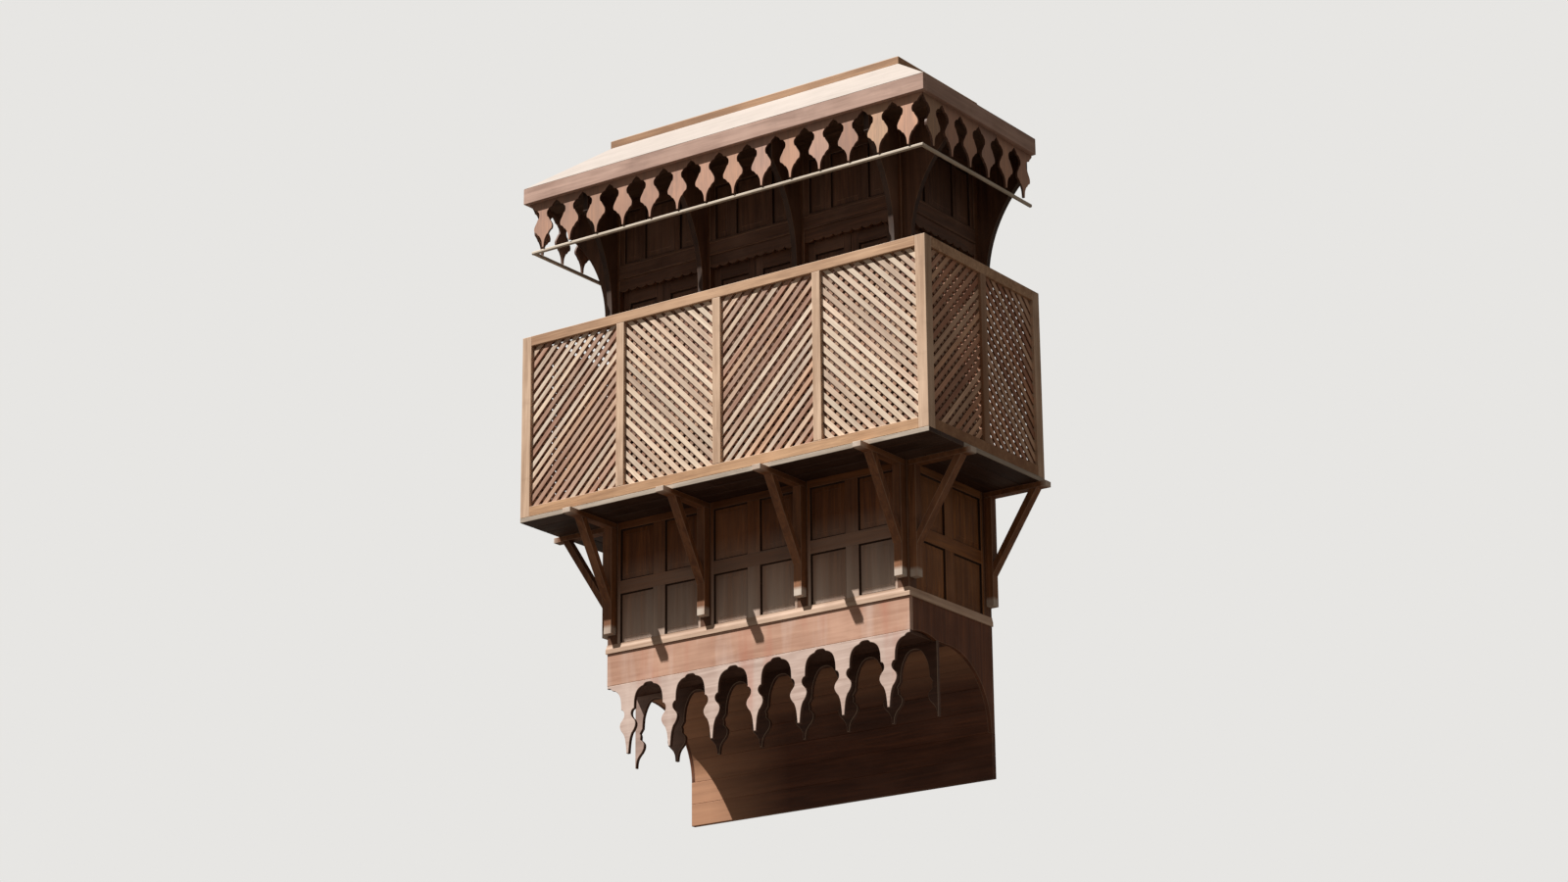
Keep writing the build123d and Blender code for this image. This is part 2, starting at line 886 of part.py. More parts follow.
def bracket_outline(face_place, overhang):
    """Concave outer edge from a narrow foot up to a square nose under the soffit."""
    reach = overhang - fascia_thickness - picket_board_thickness - bracket_clearance
    low = canopy_soffit_level - bracket_height
    nose = canopy_soffit_level - bracket_nose
    foot_out = face_place - bracket_foot
    nose_out = face_place - reach
    with BuildSketch() as outline:
        with BuildLine():
            Polyline(
                (nose_out, nose), (nose_out, canopy_soffit_level),
                (face_place, canopy_soffit_level), (face_place, low), (foot_out, low),
            )
            hollow = (face_place - bracket_hollow_share * reach, nose - bracket_hollow)
            ThreePointArc((foot_out, low), hollow, (nose_out, nose))
        make_face()
    return outline.sketch


with BuildPart() as canopy_brackets:
    for x in post_lines:
        with BuildSketch(Plane.YZ.offset(x - bracket_width / 2)):
            add(bracket_outline(-body_depth, canopy_front_overhang))
    extrude(amount=bracket_width)
    for y in (side_bracket_lines[0], -bracket_width / 2):
        with BuildSketch(Plane.XZ.offset(-y - bracket_width / 2)) as side_bracket:
            add(bracket_outline(-side_face, canopy_side_overhang))
        extrude(amount=bracket_width)
        extrude(side_bracket.sketch.mirror(Plane.YZ), amount=bracket_width, dir=(0, -1, 0))
save(canopy_brackets, "canopy_brackets")
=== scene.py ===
from cmath import phase, rect
from math import cos, floor, pi, radians, sin
from random import Random

import bmesh
import bpy
from mathutils import Matrix, Vector


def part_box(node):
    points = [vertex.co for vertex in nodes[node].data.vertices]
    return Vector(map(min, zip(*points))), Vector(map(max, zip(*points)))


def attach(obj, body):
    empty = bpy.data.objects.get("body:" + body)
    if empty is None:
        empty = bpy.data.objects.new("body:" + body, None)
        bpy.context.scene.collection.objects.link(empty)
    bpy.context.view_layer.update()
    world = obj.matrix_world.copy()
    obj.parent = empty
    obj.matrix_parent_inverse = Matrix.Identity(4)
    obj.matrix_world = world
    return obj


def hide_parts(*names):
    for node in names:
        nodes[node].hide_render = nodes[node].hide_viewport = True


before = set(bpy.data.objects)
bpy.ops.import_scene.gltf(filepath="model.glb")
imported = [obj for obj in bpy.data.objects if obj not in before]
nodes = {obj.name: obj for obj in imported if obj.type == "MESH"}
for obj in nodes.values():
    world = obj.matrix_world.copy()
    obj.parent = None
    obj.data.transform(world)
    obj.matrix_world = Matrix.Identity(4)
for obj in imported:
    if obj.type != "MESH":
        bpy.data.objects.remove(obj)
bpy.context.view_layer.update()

draw = Random(7)

MM = 0.001
AXES = {"u": 0, "x": 0, "y": 1, "z": 2}


def new_object(name, data):
    made = bpy.data.objects.new(name, data)
    bpy.context.scene.collection.objects.link(made)
    return made


# Shader nodes

class Tree:
    """Short calls for the nodes of one material or world."""

    def __init__(self, owner):
        owner.use_nodes = True
        self.nodes = owner.node_tree.nodes
        self.links = owner.node_tree.links

    def feed(self, socket, value):
        """Joins an output to the socket, or sets its value."""
        if hasattr(value, "is_output"):
            self.links.new(value, socket)
        else:
            socket.default_value = value

    def node(self, kind, **inputs):
        made = self.nodes.new("ShaderNode" + kind)
        for name, value in inputs.items():
            self.feed(made.inputs[name], value)
        return made

    def math(self, operation, a, b=0.0):
        made = self.nodes.new("ShaderNodeMath")
        made.operation = operation
        self.feed(made.inputs[0], a)
        self.feed(made.inputs[1], b)
        return made.outputs[0]

    def scale(self, colour, factor):
        made = self.nodes.new("ShaderNodeVectorMath")
        made.operation = "SCALE"
        self.feed(made.inputs[0], colour)
        self.feed(made.inputs["Scale"], factor)
        return made.outputs[0]

    def mix(self, share, a, b):
        """Two colours mixed. They are the node's sockets 6 and 7, and the mix is its socket 2."""
        made = self.nodes.new("ShaderNodeMix")
        made.data_type = "RGBA"
        self.feed(made.inputs[0], share)
        self.feed(made.inputs[6], a)
        self.feed(made.inputs[7], b)
        return made.outputs[2]

    def lay(self, tone, share, colour):
        """A flat colour laid over the tone."""
        return self.mix(share, tone, (*colour, 1))

    def pick(self, value, tones):
        """One of the tones, in equal steps of the value."""
        made = self.nodes.new("ShaderNodeValToRGB")
        made.color_ramp.interpolation = "CONSTANT"
        steps = made.color_ramp.elements
        while len(steps) < len(tones):
            steps.new(0.5)
        for i, (step, colour) in enumerate(zip(steps, tones)):
            step.position = i / len(tones)
            step.color = (*colour, 1)
        self.feed(made.inputs[0], value)
        return made.outputs[0]

    def level(self, value, low, high, at_low=0.0, at_high=1.0):
        """The value, spread so that low becomes at_low and high becomes at_high."""
        made = self.nodes.new("ShaderNodeMapRange")
        for i, number in enumerate((value, low, high, at_low, at_high)):
            self.feed(made.inputs[i], number)
        return made.outputs[0]

    def noise(self, vector, scale, detail, roughness, distortion=0.0):
        return self.node(
            "TexNoise", Vector=vector, Scale=scale, Detail=detail, Roughness=roughness, Distortion=distortion,
        ).outputs[0]

    def stretch(self, vector, factors, shift=(0, 0, 0)):
        return self.node("Mapping", Vector=vector, Scale=factors, Location=shift).outputs[0]

    def part(self, vector, axis):
        """The part of a vector along one axis."""
        return self.node("SeparateXYZ", Vector=vector).outputs[AXES[axis]]

    def object_place(self):
        return self.node("TexCoord").outputs["Object"]

    def attribute(self, name, output):
        made = self.nodes.new("ShaderNodeAttribute")
        made.attribute_name = name
        return made.outputs[output]


# Camera: the viewer stands in the street below, to the right of the bay

camera_place = Vector((10.065, -14.633, -4.582))
camera_target = Vector((-0.02, -0.45, 1.12))
camera_lens = 81
camera_roll = radians(0.54)
camera_reach = 200


def make_camera():
    data = bpy.data.cameras.new("camera")
    data.lens = camera_lens
    data.clip_end = camera_reach
    camera = new_object("camera", data)
    turn = (camera_target - camera_place).to_track_quat("-Z", "Y").to_matrix().to_4x4()
    roll = Matrix.Rotation(-camera_roll, 4, "Z")
    camera.matrix_world = Matrix.Translation(camera_place) @ turn @ roll
    bpy.context.scene.camera = camera


# Light: one lamp from the upper left front, and a pale surrounding

lamp_direction = Vector((0.368, 0.421, -0.829))
lamp_strength = 5.8
lamp_angle = radians(0.53)
lamp_colour = (1.0, 0.97, 0.925)
surround_strength = 0.17
surround_colour = (1.0, 0.925, 0.84, 1)
background_colour = (0.8, 0.79, 0.77, 1)
floor_level = -6.2
floor_size = 60
floor_roughness = 0.9
floor_seen_colour = (0.5, 0.49, 0.475, 1)
floor_bounce_colour = (0.075, 0.062, 0.05, 1)


def make_light():
    lamp = bpy.data.lights.new("key", "SUN")
    lamp.energy = lamp_strength
    lamp.angle = lamp_angle
    lamp.color = lamp_colour
    key = new_object("key", lamp)
    key.rotation_mode = "QUATERNION"
    key.rotation_quaternion = lamp_direction.to_track_quat("-Z", "Y")


def make_surround():
    """The surround lights the object softly and shows as a plain pale background."""
    world = bpy.data.worlds.new("surround")
    tree = Tree(world)
    tree.nodes.clear()
    path = tree.node("LightPath").outputs
    seen = tree.math("MAXIMUM", path["Is Camera Ray"], path["Is Transmission Ray"])
    soft = tree.node("Background", Color=surround_colour, Strength=surround_strength)
    plain = tree.node("Background", Color=background_colour)
    mix = tree.node("MixShader")
    for socket, value in zip(mix.inputs, (seen, soft.outputs[0], plain.outputs[0])):
        tree.feed(socket, value)
    tree.node("OutputWorld", Surface=mix.outputs[0])
    bpy.context.scene.world = world


def make_floor():
    """A pale floor that catches the shadow. It throws little light back up under the bay."""
    mesh = bpy.data.meshes.new("floor")
    half = floor_size / 2
    corners = rectangle(-half, half, -half, half)
    mesh.from_pydata([(x, y, floor_level) for x, y in corners], [], [(0, 1, 2, 3)])
    ground = new_object("floor", mesh)
    material = bpy.data.materials.new("floor")
    tree = Tree(material)
    shader = tree.nodes["Principled BSDF"]
    seen = tree.node("LightPath").outputs["Is Camera Ray"]
    tree.feed(shader.inputs["Base Color"], tree.mix(seen, floor_bounce_colour, floor_seen_colour))
    tree.feed(shader.inputs["Roughness"], floor_roughness)
    mesh.materials.append(material)


# Wood: a grain, with stains, zones of another colour, upright streaks and dust laid over it. Some zones and
# streaks are painted light or shade

grain_stretch = 0.055
tone_share = 0.7
number_spread = 37.7
darkest_board, lightest_board = 0.8, 1.16
relief_strength = 0.4
relief_height = 0.0014
weather_grey = (0.46, 0.42, 0.38)


def shade(colour, factor):
    return tuple(channel * factor for channel in colour)


def toward(colour, other, share):
    return tuple(a + (b - a) * share for a, b in zip(colour, other))


def tinted(colours, red, green, blue):
    return [(red * r, green * g, blue * b) for r, g, b in colours]


def board_tone(tree, tone, tones):
    """Each board has one of the tones, and is a little darker or lighter than the others."""
    number = tree.attribute("tone", "Fac")
    if tones:
        tone = tree.mix(tone_share, tone, tree.pick(number, tones))
    spread = tree.math("FRACT", tree.math("MULTIPLY", number, number_spread))
    return tree.scale(tone, tree.level(spread, 0, 1, darkest_board, lightest_board))


def weathered(tree, tone, place, dark, light, weather, wear):
    """Greyed, paler patches, and dark stains."""
    cloud = tree.noise(place, scale=2.3, detail=4, roughness=0.55)
    greyed = toward(shade(light, 1.16), weather_grey, 0.12)
    tone = tree.lay(tone, tree.level(cloud, 0.45, 0.7, 0.0, weather), greyed)
    stain = tree.noise(tree.stretch(place, (0.5, 1, 1)), scale=7.5, detail=5, roughness=0.65)
    return tree.lay(tone, tree.level(stain, 0.55, 0.74, 0.0, wear), shade(dark, 0.6))


def streaked(tree, tone, colour, share, seed):
    """Upright streaks of a flat colour."""
    drawn = tree.stretch(tree.object_place(), (1, 1, 0.16), (seed, 0, 0))
    mark = tree.noise(drawn, scale=8, detail=3, roughness=0.5)
    return tree.lay(tone, tree.level(mark, 0.52, 0.7, 0.0, share), colour)


def faded(tree, tone, grained, axis, strongest, end, colour, share):
    """A zone of another colour, uneven along the grain and weaker towards its end."""
    zone = tree.level(tree.part(tree.object_place(), axis), strongest, end, share, 0.0)
    uneven = tree.level(tree.noise(grained, scale=11, detail=4, roughness=0.6), 0.35, 0.65, 0.55, 1.0)
    return tree.lay(tone, tree.math("MULTIPLY", zone, uneven), colour)


def dusted(tree, tone, place, colour, share):
    """Patches of dust on the faces that look up."""
    normal = tree.node("NewGeometry").outputs["Normal"]
    up = tree.level(tree.part(normal, "z"), 0.25, 0.85)
    patches = tree.level(tree.noise(place, scale=14, detail=5, roughness=0.65), 0.3, 0.62, 0.35, 1.0)
    return tree.lay(tone, tree.math("MULTIPLY", tree.math("MULTIPLY", up, patches), share), colour)


def wood(name, dark, light, grain="u", tones=None, roughness=0.6, dust=None, dust_share=0.5,
         wear=0.45, weather=0.5, streaks=0.32, fades=(), runs=()):
    """Sawn wood with its grain along one axis of the object, or along each board for grain u.

    tones: colours, one picked for each board. dust: colour laid on faces that look up.
    fades: zones, each (axis, place where it is strongest, place where it ends, colour, share).
    runs: upright streaks, each (colour, share, place in the noise).
    """
    material = bpy.data.materials.new(name)
    tree = Tree(material)
    boards = grain == "u"
    place = tree.attribute("grain", "Vector") if boards else tree.object_place()
    along = [1.0, 1.0, 1.0]
    along[AXES[grain]] = grain_stretch
    grained = tree.stretch(place, along)
    fine = tree.noise(grained, scale=170, detail=4, roughness=0.62)
    bands = tree.noise(grained, scale=34, detail=4, roughness=0.6, distortion=0.8)
    tone = tree.mix(tree.level(bands, 0.28, 0.72), (*dark, 1), (*light, 1))
    if boards:
        tone = board_tone(tree, tone, tones)
    tone = tree.lay(tone, tree.level(bands, 0.42, 0.66, streaks, 0.0), shade(dark, 0.62))
    tone = tree.lay(tone, tree.level(fine, 0.4, 0.6, streaks * 0.9, 0.0), shade(dark, 0.55))
    tone = weathered(tree, tone, place, dark, light, weather, wear)
    for mark in runs:
        tone = streaked(tree, tone, *mark)
    for zone in fades:
        tone = faded(tree, tone, grained, *zone)
    if dust:
        tone = dusted(tree, tone, place, dust, dust_share)
    rough = tree.level(fine, 0.3, 0.7, roughness - 0.1, roughness + 0.14)
    height = tree.math("ADD", tree.math("MULTIPLY", fine, 0.65), tree.math("MULTIPLY", bands, 0.5))
    relief = tree.node("Bump", Strength=relief_strength, Distance=relief_height, Height=height)
    shader = tree.nodes["Principled BSDF"]
    tree.feed(shader.inputs["Base Color"], tone)
    tree.feed(shader.inputs["Roughness"], rough)
    tree.feed(shader.inputs["Normal"], relief.outputs[0])
    return material


# Colours, linear. A pair is the dark and the light of one wood

BARE = (0.64, 0.5, 0.38)
FRAME = ((0.46, 0.245, 0.13), (0.71, 0.445, 0.265))
FOOT_RAIL = ((0.46, 0.235, 0.115), (0.71, 0.425, 0.23))
UPRIGHT = ((0.56, 0.345, 0.215), (0.8, 0.565, 0.395))
BEAM = ((0.28, 0.15, 0.08), (0.45, 0.26, 0.145))
PANEL = ((0.145, 0.042, 0.01), (0.34, 0.114, 0.028))
# Painted shade for the sunk grounds and beads round the fields
GROOVE_SHADE = [shade(colour, 0.22) for colour in PANEL]
# Warmer, brighter panel wood for the sides in shade: painted warm light thrown up from the ground
BOUNCE_LIT_SIDE_PANEL = ((0.19, 0.062, 0.014), (0.42, 0.16, 0.042))
UPPER_PANEL = ((0.097, 0.038, 0.018), (0.208, 0.093, 0.047))
# Sides of the canopy brackets, painted darker: painted shade
SHADED_BRACKET_SIDES = [shade(colour, 0.45) for colour in UPPER_PANEL]
POST = ((0.11, 0.038, 0.014), (0.23, 0.092, 0.035))
STRUT = ((0.19, 0.066, 0.022), (0.4, 0.16, 0.06))
# Painted shade for the right side of the screen
SHADED_RIGHT_SIDE = (0.24, 0.098, 0.038)
APRON = ((0.51, 0.255, 0.165), (0.75, 0.44, 0.305))
CHEEK = ((0.15, 0.046, 0.016), (0.29, 0.098, 0.038))
MOULDING = ((0.66, 0.41, 0.275), (0.86, 0.61, 0.45))
FRINGE = ((0.55, 0.385, 0.32), (0.78, 0.6, 0.52))
# Rear fringe and soffit board, painted near black: painted shade
SHADED_REAR_FRINGE = ((0.075, 0.028, 0.014), (0.15, 0.062, 0.034))
# Cut sides of the fringes and pickets, painted dark: painted shade
SHADED_FRINGE_SIDES = ((0.1, 0.042, 0.026), (0.19, 0.088, 0.055))
COVE = ((0.105, 0.03, 0.011), (0.23, 0.076, 0.03))
# Painted light on the cove and the wall board
COVE_LIT = (0.66, 0.34, 0.19)
FASCIA = ((0.42, 0.25, 0.19), (0.63, 0.41, 0.325))
ROOF = ((0.44, 0.385, 0.345), (0.54, 0.475, 0.435))
CAP = ((0.34, 0.17, 0.08), (0.5, 0.28, 0.145))
ROD = ((0.62, 0.52, 0.41), (0.78, 0.68, 0.56))
FLOOR = ((0.034, 0.011, 0.004), (0.075, 0.027, 0.01))
FLOOR_EDGE = ((0.4, 0.32, 0.25), (0.6, 0.51, 0.42))
UNDER_CANOPY = ((0.085, 0.042, 0.025), (0.17, 0.088, 0.052))
DUST = (0.54, 0.47, 0.39)
# Painted shadow of the fascia on the pickets
FASCIA_SHADOW = (0.17, 0.09, 0.06)
# Paler lower walls: partly bleached wood, partly painted light
BLEACHED_AND_LIT = (0.75, 0.6, 0.5)
# Ends of the joists and legs where the sun falls: painted sunlight
SUNLIT_END = (0.78, 0.68, 0.58)
# Red rain stains, and pale streaks that are partly weathering, partly painted sheen
RAIN_MARKS_AND_SHEEN = [((0.52, 0.175, 0.105), 0.45, 0.0), ((0.84, 0.68, 0.6), 0.38, 13.0)]
SLAT_TONES = [
    (0.93, 0.79, 0.63), (0.9, 0.66, 0.48), (0.8, 0.52, 0.39), (0.76, 0.45, 0.28),
    (0.95, 0.83, 0.69), (0.56, 0.29, 0.19), (0.92, 0.72, 0.53), (0.45, 0.2, 0.125),
]
PALE_SLAT_TONES = [toward(tone, (0.95, 0.78, 0.6), 0.55) for tone in SLAT_TONES]
# Darker, redder slats for the right side, which is in shade: painted shade
SHADED_SLAT_TONES = tinted(SLAT_TONES, 0.92, 0.72, 0.6)
# The back layer is a darker, redder copy of the slats: painted shade from the outer layer
SHADED_BACK_SLAT_TONES = tinted(SLAT_TONES, 0.62, 0.52, 0.44)
# Cut sides of the slats, painted dark: painted shade
SHADED_SLAT_SIDES = ((0.2, 0.075, 0.036), (0.36, 0.15, 0.08))
PICKET_TONES = [
    (0.7, 0.375, 0.235), (0.58, 0.355, 0.28), (0.74, 0.375, 0.18), (0.7, 0.45, 0.265),
    (0.63, 0.335, 0.225),
]


# Finishes: a wood and its worn edge

BODY = 0
WORN = 1
# The third slot is painted shade: cut sides and sunk grooves painted dark
SHADED = 2
worn_light, worn_tone_light = 1.18, 1.12
weld_distance = 0.00005
bevel_angle = radians(40)
sharp_angle = radians(28)
finishes = {}


def finish(name, colours, edge=0.28, **choices):
    """The materials for the slots BODY and WORN, made once for each name."""

    def worn(paint, lighter):
        return [toward(shade(colour, lighter), BARE, edge) for colour in paint]

    if name not in finishes:
        edge_choices = dict(choices)
        if "tones" in choices:
            edge_choices["tones"] = worn(choices["tones"], worn_tone_light)
        finishes[name] = [
            wood(name, *colours, **choices),
            wood(name + "_edge", *worn(colours, worn_light), **edge_choices),
        ]
    return finishes[name]


def painted_shade_finish(name, colours, **choices):
    """The material for the slot of painted shade: cut sides and sunk grooves, painted dark where shade falls.
    """
    if name not in finishes:
        finishes[name] = [wood(name, *colours, **choices)]
    return finishes[name]


def finish_node(node, name, colours, bevel=2.0, **choices):
    """Rounded, worn edges and a wood for a node whose own shape is shown. The bevel is in millimetres."""
    piece = nodes[node]
    piece.data.materials.clear()
    for material in finish(name, colours, **choices):
        piece.data.materials.append(material)
    weld = piece.modifiers.new("weld", "WELD")
    weld.merge_threshold = weld_distance
    edges = piece.modifiers.new("edges", "BEVEL")
    edges.width = bevel * MM
    edges.segments = 2
    edges.limit_method = "ANGLE"
    edges.angle_limit = bevel_angle
    edges.material = WORN


# Outlines. Points nearer than near are one point, and sharpest holds back the inset of a sharp corner

near = 0.01 * MM
sharpest = 0.35


def rectangle(u0, u1, v0, v1):
    return [(u0, v0), (u1, v0), (u1, v1), (u0, v1)]


def cut_corners(u0, u1, v0, v1, cut):
    return [
        (u0 + cut, v0), (u1 - cut, v0), (u1, v0 + cut), (u1, v1 - cut),
        (u1 - cut, v1), (u0 + cut, v1), (u0, v1 - cut), (u0, v0 + cut),
    ]


def inset(outline, distance):
    """The outline drawn in by the same distance all round. It runs anticlockwise."""
    corners = [complex(*point) for point in outline]
    moved = []
    for i, here in enumerate(corners):
        before, after = here - corners[i - 1], corners[(i + 1) % len(corners)] - here
        n, m = 1j * before / (abs(before) or 1), 1j * after / (abs(after) or 1)
        reach = distance / max(1 + (n * m.conjugate()).real, sharpest)
        moved.append(here + (n + m) * reach)
    return [(point.real, point.imag) for point in moved]


def between(p, q, r, s, t):
    """A curve's place between q and r, after the share t of the way."""
    bend = 2 * p - 5 * q + 4 * r - s
    twist = 3 * q - p - 3 * r + s
    return 0.5 * (2 * q + (r - p) * t + bend * t * t + twist * t ** 3)


def smooth_line(points, steps):
    """A smooth curve through the points, with free ends."""
    line = []
    held = [points[0], *points, points[-1]]
    for four in zip(held, held[1:], held[2:], held[3:]):
        for step in range(steps):
            line.append(tuple(between(*places, step / steps) for places in zip(*four)))
    return line + [points[-1]]


def curves(parts, steps):
    """Smooth curves one after another, in metres, from points in millimetres."""
    return [(x * MM, y * MM) for part in parts for x, y in smooth_line(part, steps)]


def arc(first, middle, last, steps):
    """Points of the arc through three points. It spans less than half of its circle."""
    a, b, c = [complex(*point) for point in (first, middle, last)]
    slant = (c - a) / (b - a)
    centre = a + (b - a) * (slant - abs(slant) ** 2) / (2j * slant.imag)
    sweep = phase((c - centre) / (a - centre))
    points = [centre + (a - centre) * rect(1, sweep * i / steps) for i in range(steps + 1)]
    return [(point.real, point.imag) for point in points]


def clip(outline, nx, ny, limit):
    """The part of a convex outline on the near side of a line."""
    kept = []
    for i in range(len(outline)):
        a, b = outline[i - 1], outline[i]
        da, db = nx * a[0] + ny * a[1] - limit, nx * b[0] + ny * b[1] - limit
        if da * db < 0:
            t = da / (da - db)
            kept.append((a[0] + (b[0] - a[0]) * t, a[1] + (b[1] - a[1]) * t))
        if db <= 0:
            kept.append(b)
    return kept


def mirrored(half):
    """A closed outline from its right half, which runs from the top down. Anticlockwise."""
    return [(-x, y) for x, y in half if x > near] + half[::-1]


def band(first, count):
    """Four-sided faces between a ring of points and the next ring."""
    ahead = [(i + 1) % count for i in range(count)]
    return [[first + i, first + j, first + count + j, first + count + i] for i, j in enumerate(ahead)]


# Planes: each turns (u, v, w) into a place, where w runs outwards or along the boards

def front(distance):
    """A plane that looks towards the street: right, up, outwards."""
    return lambda u, v, w: (u, -distance - w, v)


def right(distance):
    return lambda u, v, w: (distance + w, u, v)


def left(distance):
    return lambda u, v, w: (-distance - w, u, v)


def sunk(place, depth):
    """The same plane, set further back."""
    return lambda u, v, w: place(u, v, w - depth)


def across(u, v, w):
    """A section in the (y, z) plane, run along x."""
    return (w, u, v)


def deep_right(u, v, w):
    """A section in the (x, z) plane, run along y."""
    return (u, w, v)


def deep_left(u, v, w):
    return (-u, w, v)


# Boards, gathered into one mesh for each piece

class Work:
    """Gathers boards. Each has its own tone and carries the direction of its grain."""

    def __init__(self, name):
        self.name = name
        self.points, self.faces, self.slots = [], [], []
        self.grain, self.tones = [], []

    def add(self, local, faces, place, slots, angle=0.0, along="u"):
        first = len(self.points)
        shift = [draw.uniform(0, 30) for _ in range(3)]
        tone = draw.random()
        c, s = cos(angle), sin(angle)
        for u, v, w in local:
            self.points.append(place(u, v, w))
            if along == "w":
                own = (w, u, v)
            else:
                own = (u * c + v * s, v * c - u * s, w)
            self.grain.append([a + b for a, b in zip(own, shift)])
            self.tones.append(tone)
        self.faces += [[first + i for i in face] for face in faces]
        self.slots += slots

    def prism(self, outline, place, back, face, edge=1.5 * MM, angle=0.0, both=True, along="u",
              body=BODY, walls=None):
        """A board with a flat outline and small worn chamfers round its face, or round both faces.

        body: material slot of the faces. walls: that of the sides, where it is another one.
        """
        drawn_in = inset(outline, edge)
        rings = [(outline, back), (outline, face - edge), (drawn_in, face)]
        if both:
            rings = [(drawn_in, back), (outline, back + edge)] + rings[1:]
        count = len(outline)
        walls = body if walls is None else walls
        local = [(u, v, w) for ring, w in rings for u, v in ring]
        faces, slots = [], []
        for level in range(len(rings) - 1):
            chamfer = rings[level][0] is not rings[level + 1][0]
            faces += band(level * count, count)
            slots += [WORN if chamfer else walls] * count
        faces.append(list(range(count))[::-1])
        faces.append([(len(rings) - 1) * count + i for i in range(count)])
        slots += [body, body]
        self.add(local, faces, place, slots, angle, along)

    def block(self, u0, u1, v0, v1, place, back, face, edge=1.5 * MM, upright=False, **rest):
        """A board with four sides and its grain level or upright."""
        angle = pi / 2 if upright else 0.0
        self.prism(rectangle(u0, u1, v0, v1), place, back, face, edge, angle, **rest)

    def plank(self, outline, place, start, end):
        """A board with this section, its grain along its length."""
        self.prism(outline, place, start, end, edge=0.8 * MM, along="w")

    def planks(self, place, u0, u1, v0, v1, start, end, count, gap=0.0, cut=1.6 * MM):
        """Planks side by side."""
        width = (u1 - u0 + gap) / count
        for i in range(count):
            a = u0 + i * width
            lift = draw.uniform(-0.6, 0) * MM
            self.plank(cut_corners(a, a + width - gap, v0, v1 + lift, cut), place, start, end)

    def make(self, slot, materials, *replaced):
        mesh = bpy.data.meshes.new(self.name)
        mesh.from_pydata([tuple(p) for p in self.points], [], self.faces)
        for material in materials:
            mesh.materials.append(material)
        mesh.polygons.foreach_set("material_index", self.slots)
        grain = mesh.attributes.new("grain", "FLOAT_VECTOR", "POINT")
        grain.data.foreach_set("vector", [c for g in self.grain for c in g])
        tone = mesh.attributes.new("tone", "FLOAT", "POINT")
        tone.data.foreach_set("value", self.tones)
        shaped = bmesh.new()
        shaped.from_mesh(mesh)
        bmesh.ops.recalc_face_normals(shaped, faces=shaped.faces)
        shaped.to_mesh(mesh)
        shaped.free()
        mesh.polygons.foreach_set("use_smooth", [True] * len(mesh.polygons))
        mesh.set_sharp_from_angle(angle=sharp_angle)
        piece = new_object(self.name, mesh)
        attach(piece, "root")
        if replaced:
            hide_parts(*replaced)


def plank_node(node, name, count, slot, materials):
    """Planks in place of a node that fills its box."""
    low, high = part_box(node)
    work = Work(name)
    work.planks(across, low.y, high.y, low.z, high.z, low.x, high.x, count)
    work.make(slot, materials, node)


# Places read from the frame. A bay is its plane, its centre and its clear width between posts

deck_low, deck_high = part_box("floor_deck")
deck_top = deck_high.z
body_side, body_front = deck_high.x, -deck_low.y
posts_low, posts_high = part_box("mid_posts")
post_size = posts_high.y - posts_low.y
bays_ahead = 3
bay_pitch = (2 * body_side - post_size) / bays_ahead
bay_clear = bay_pitch - post_size
jamb_depth = -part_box("wall_jambs")[0].y
side_clear = body_front - post_size - jamb_depth
side_centre = -(body_front - post_size + jamb_depth) / 2
front_bays = [(front(body_front), centre, bay_clear) for centre in (-bay_pitch, 0, bay_pitch)]
side_bays = [(kind(body_side), side_centre, side_clear) for kind in (right, left)]
all_bays = front_bays + side_bays
post_lines = [-body_side + post_size / 2 + i * bay_pitch for i in range(bays_ahead + 1)]


# Lattice: close outer slats over crossing back slats, none of them nearer to a corner than corner_gap

slat_width = 27 * MM
slat_pitch = 43.5 * MM
slat_thickness = 9 * MM
slat_edge = 1.6 * MM
corner_gap = 0.62 * slat_width


def slat_layer(work, place, centre, middle, width, height, angle, face):
    """Slats of one layer, cut off by the frame."""
    reach = (width + height) / 2 * sin(radians(45)) - corner_gap
    count = floor(reach / slat_pitch)
    length = width + height
    c, s = cos(angle), sin(angle)
    for i in range(-count, count + 1):
        away = i * slat_pitch + draw.uniform(-0.7, 0.7) * MM
        half = slat_width / 2 + draw.uniform(-0.6, 0.4) * MM
        lying = rectangle(-length, length, away - half, away + half)
        strip = [(a * c - b * s, a * s + b * c) for a, b in lying]
        for nx, ny, limit in ((1, 0, width / 2), (-1, 0, width / 2), (0, 1, height / 2), (0, -1, height / 2)):
            strip = clip(strip, nx, ny, limit)
        if len(strip) < 3:
            continue
        strip = [(centre + u, middle + v) for u, v in strip]
        lift = draw.uniform(-0.5, 0.2) * MM
        work.prism(strip, place, face - slat_thickness + lift, face + lift, slat_edge, angle, walls=SHADED)


def slat_finish(name, tones):
    """Mixed tones over a ground between the palest and a darker slat, and cut sides painted dark: painted
    shade.
    """
    ground = (shade(tones[5], 0.9), tones[0])
    choices = {"tones": tones, "dust": DUST, "dust_share": 0.2, "weather": 0.3, "wear": 0.3}
    return finish(name, ground, roughness=0.55, **choices) + painted_shade_finish("slat_sides", SHADED_SLAT_SIDES)


